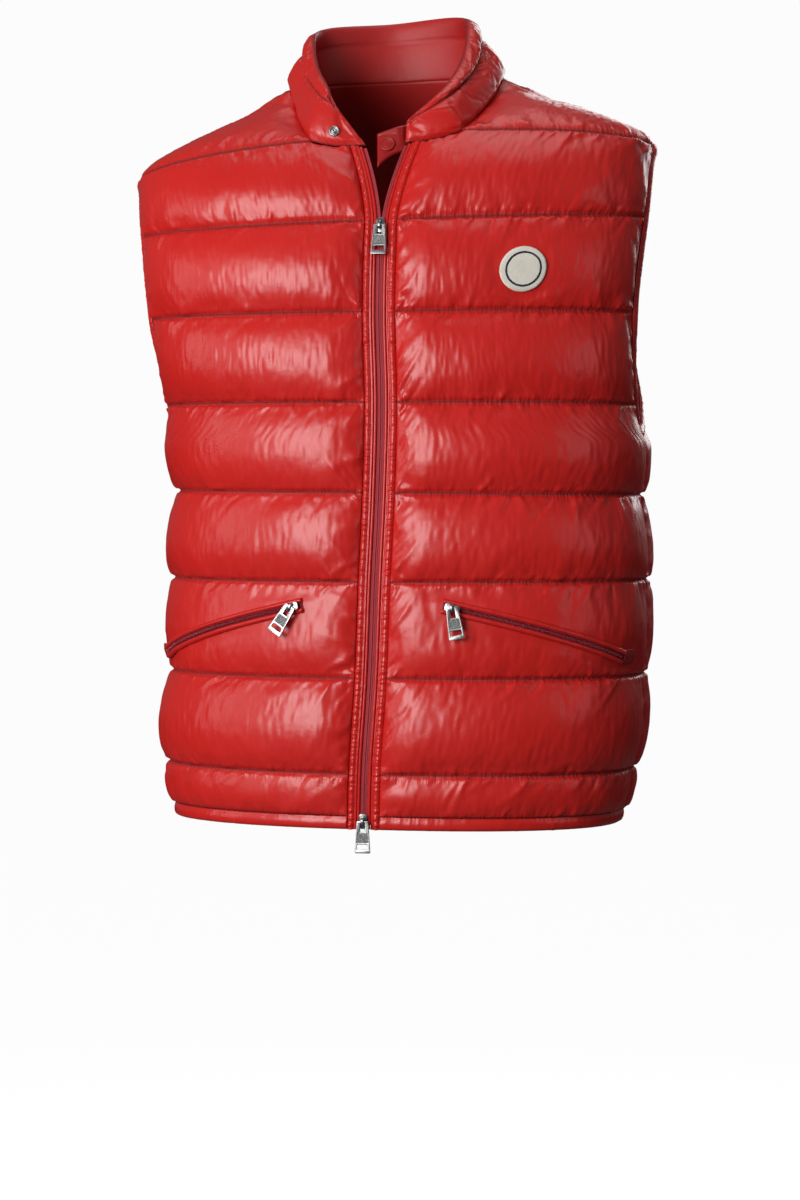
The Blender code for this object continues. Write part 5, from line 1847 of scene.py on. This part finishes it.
def slider_place(name):
    """The slider's place, and how far its body is turned under the bridge to follow its zip."""
    if name in FRONT_SLIDERS:
        z = FRONT_SLIDERS[name]
        low, high = (Vector(hung(section_point(z + step, 0.0))) for step in (-SLIDER_LENGTH / 2, SLIDER_LENGTH / 2))
        along = low - high
        normal = along.cross(Vector((1, 0, 0))).normalized()
        origin, turn = (low + high) / 2 + normal * ZIP_THICKNESS * MM, 0.0
    else:
        side, turn = POCKET_SLIDERS[name]
        near = POCKET_ANGLES[0] + POCKET_SLIDER_ANGLE
        hit, normal = on_front(side, near, pocket_height(near))
        along = on_front(side, near + POCKET_SLIDER_ANGLE, pocket_height(near + POCKET_SLIDER_ANGLE))[0] - hit
        origin = hit + normal * (ON_PANEL + POCKET_ZIP_THICKNESS) * MM
    place = frame_at(origin, normal, Matrix.Rotation(math.radians(turn), 3, normal) @ Vector((0, 0, -1)))
    local = place.to_3x3().inverted() @ along
    return place, math.atan2(local.x, -local.y)


def slab(shape, outline, low, high, bevel):
    """A flat plate over an outline in mm, with its edges bevelled, added to a bmesh."""
    verts = [shape.verts.new((x * MM, y * MM, low * MM)) for x, y in outline]
    face = shape.faces.new(verts)
    risen = bmesh.ops.extrude_face_region(shape, geom=[face], use_keep_orig=True)["geom"]
    top = [item for item in risen if isinstance(item, bmesh.types.BMVert)]
    bmesh.ops.translate(shape, vec=(0, 0, (high - low) * MM), verts=top)
    everything = set(verts) | set(top)
    faces = list({face for vert in everything for face in vert.link_faces})
    bmesh.ops.recalc_face_normals(shape, faces=faces)
    edges = list({edge for face in faces for edge in face.edges})
    sharp = [edge for edge in edges if edge.calc_face_angle(0) > math.radians(40)]
    bmesh.ops.bevel(
        shape, geom=sharp, offset=bevel * MM, offset_type="OFFSET", segments=2, profile=0.5, affect="EDGES", material=-1
    )
    return shape


def bridge_solid(shape):
    """The bridge: its side view is an arch, extruded to the bridge's width."""
    half, top = BRIDGE_SPAN
    outer = list(BRIDGE)
    inner = [(half, 3.2), (half, top - 0.7), (half - 0.7, top), (0.7 - half, top), (-half, top - 0.7), (-half, 3.2)]
    outline = outer + inner
    verts = [shape.verts.new((-BRIDGE_HALF_WIDTH * MM, y * MM, z * MM)) for y, z in outline]
    face = shape.faces.new(verts)
    risen = bmesh.ops.extrude_face_region(shape, geom=[face], use_keep_orig=True)["geom"]
    top_verts = [item for item in risen if isinstance(item, bmesh.types.BMVert)]
    bmesh.ops.translate(shape, vec=(2 * BRIDGE_HALF_WIDTH * MM, 0, 0), verts=top_verts)
    faces = list({face for vert in verts + top_verts for face in vert.link_faces})
    bmesh.ops.recalc_face_normals(shape, faces=faces)
    edges = list({edge for face in faces for edge in face.edges})
    sharp = [edge for edge in edges if edge.calc_face_angle(0) > math.radians(50)]
    bmesh.ops.bevel(
        shape, geom=sharp, offset=0.3 * MM, offset_type="OFFSET", segments=2, profile=0.5, affect="EDGES", material=-1
    )


def cast_slider(name):
    place, body_turn = slider_place(name)
    shape = bmesh.new()
    outline = [(x, y) for x, y in SLIDER_OUTLINE] + [(-x, y) for x, y in reversed(SLIDER_OUTLINE)]
    slab(shape, outline, *PLATE, 0.45)
    width, length, low, high = STEM
    slab(shape, [(-width / 2, -length / 2), (width / 2, -length / 2), (width / 2, length / 2), (-width / 2, length / 2)], low, high, 0.2)
    bmesh.ops.rotate(shape, cent=(0, 0, 0), matrix=Matrix.Rotation(body_turn, 3, "Z"), verts=shape.verts)
    bridge_solid(shape)
    bmesh.ops.transform(shape, matrix=place, verts=shape.verts)
    made = piece_from(name + "_slider_body", shape, bright_metal)
    made.data.set_sharp_from_angle(angle=math.radians(50))
    dressed(made, "bright_metal", name + "_slider")
    return place


slider_places = {name: cast_slider(name) for name in (*FRONT_SLIDERS, *POCKET_SLIDERS)}
for joint in frame["joints"]:
    name = joint["name"].replace("_pull_hinge", "")
    bar = slider_places[name] @ Vector((0, 0, HINGE_HEIGHT * MM))
    print(name, "bar is off its hinge by", round((bar - Vector(joint["pos_m"])).length * 1e6), "micrometres")

# %% [markdown]
# ## Pull tabs
# Each tab is a tapered frame with an eye for the bar, a sunken plate with a grained face, and a slot near
# its wide end. The real ones are stamped and plated, so every edge is rounded. A tab rides on its own
# body: it swings on the slider's bar, and nothing else moves with it.

# %% Stamp the pull tabs
PULL_LENGTH = 26.5
PULL_BAR = 0.85
PULL_HALF_WIDTHS = (5.0, 6.7)
PULL_HALF_THICKNESS = 0.65
PULL_EYE = (2.0, 0.85, 8.4)
PULL_SLOT = (4.6, 19.0, 23.0)
CORNER_STEPS = 5


def rounded_outline(corners, radius, steps=CORNER_STEPS):
    """A polygon with its corners rounded."""
    outline = []
    for index, corner in enumerate(corners):
        corner = Vector(corner)
        before, after = Vector(corners[index - 1]), Vector(corners[(index + 1) % len(corners)])
        first = corner + (before - corner).normalized() * radius
        last = corner + (after - corner).normalized() * radius
        for t in np.linspace(0, 1, steps + 1):
            outline.append(tuple((1 - t) ** 2 * first + 2 * t * (1 - t) * corner + t**2 * last))
    return outline


def plate_with_holes(outlines, low, high, bevel):
    """A flat plate with holes, filled between its outlines, bevelled, as a bmesh in metres."""
    curve = bpy.data.curves.new("outline", "CURVE")
    curve.dimensions = "2D"
    curve.fill_mode = "BOTH"
    curve.extrude = (high - low) / 2 * MM - bevel * MM
    curve.bevel_depth = bevel * MM
    curve.bevel_resolution = 2
    curve.offset = -bevel * MM
    for outline in outlines:
        spline = curve.splines.new("POLY")
        spline.points.add(len(outline) - 1)
        spline.use_cyclic_u = True
        for point, (x, y) in zip(spline.points, outline):
            point.co = (x * MM, y * MM, 0, 1)
    drawn = bpy.data.objects.new("outline", curve)
    bpy.context.scene.collection.objects.link(drawn)
    mesh = bpy.data.meshes.new_from_object(drawn.evaluated_get(bpy.context.evaluated_depsgraph_get()))
    bpy.data.objects.remove(drawn)
    shape = bmesh.new()
    shape.from_mesh(mesh)
    bpy.data.meshes.remove(mesh)
    bmesh.ops.remove_doubles(shape, verts=shape.verts, dist=0.000005)
    bmesh.ops.translate(shape, vec=(0, 0, (low + high) / 2 * MM), verts=shape.verts)
    return shape


def width_at(y):
    """Half the tab's width at a place along it."""
    return float(np.interp(-y, (-PULL_BAR, PULL_LENGTH), PULL_HALF_WIDTHS))


def stamp_pull(name):
    place = slider_places[name]
    end = -PULL_LENGTH
    rim = rounded_outline([(-5.0, PULL_BAR), (5.0, PULL_BAR), (6.7, end), (-6.7, end)], 1.2)
    eye_half, eye_top, eye_low = PULL_EYE
    eye = rounded_outline([(-eye_half, -eye_top), (eye_half, -eye_top), (eye_half, -eye_low), (-eye_half, -eye_low)], 0.7)
    slot_half, slot_top, slot_low = PULL_SLOT
    slot = rounded_outline(
        [(-slot_half, -slot_top), (slot_half, -slot_top), (slot_half + 0.5, -slot_low), (-slot_half - 0.5, -slot_low)], 1.0
    )
    inset = 1.25
    window_top, window_low = -eye_low - 1.6, -slot_top + 1.5
    window = rounded_outline(
        [
            (inset - width_at(window_top), window_top), (width_at(window_top) - inset, window_top),
            (width_at(window_low) - inset, window_low), (inset - width_at(window_low), window_low),
        ],
        0.6,
    )
    half = PULL_HALF_THICKNESS
    frame_part = plate_with_holes([rim, eye, window, slot], -half, half, 0.22)
    grown = rounded_outline(
        [
            (inset - 0.4 - width_at(window_top), window_top + 0.4), (width_at(window_top) - inset + 0.4, window_top + 0.4),
            (width_at(window_low) - inset + 0.4, window_low - 0.4), (inset - 0.4 - width_at(window_low), window_low - 0.4),
        ],
        0.6,
    )
    sunken = plate_with_holes([grown], -half + 0.3, half - 0.3, 0.05)
    plumb = place.to_3x3().inverted() @ Vector((0, 0, -1))
    lift = max(0.0, math.atan2(plumb.z, -plumb.y))
    hang = place @ Matrix.Translation((0, 0, HINGE_HEIGHT * MM)) @ Matrix.Rotation(-lift, 4, "X")
    for part, suffix, finish in ((frame_part, "tab", bright_metal), (sunken, "tab_plate", worn_metal)):
        bmesh.ops.recalc_face_normals(part, faces=part.faces)
        bmesh.ops.transform(part, matrix=hang, verts=part.verts)
        made = piece_from(f"{name}_{suffix}", part, finish)
        made.data.set_sharp_from_angle(angle=math.radians(40))
        nodes = (name + "_pull",) if suffix == "tab" else ()
        dressed(made, "bright_metal", *nodes, body=name + "_pull")
    return hang


for name in slider_places:
    stamp_pull(name)
print("sliders and pull tabs: 4 of each")
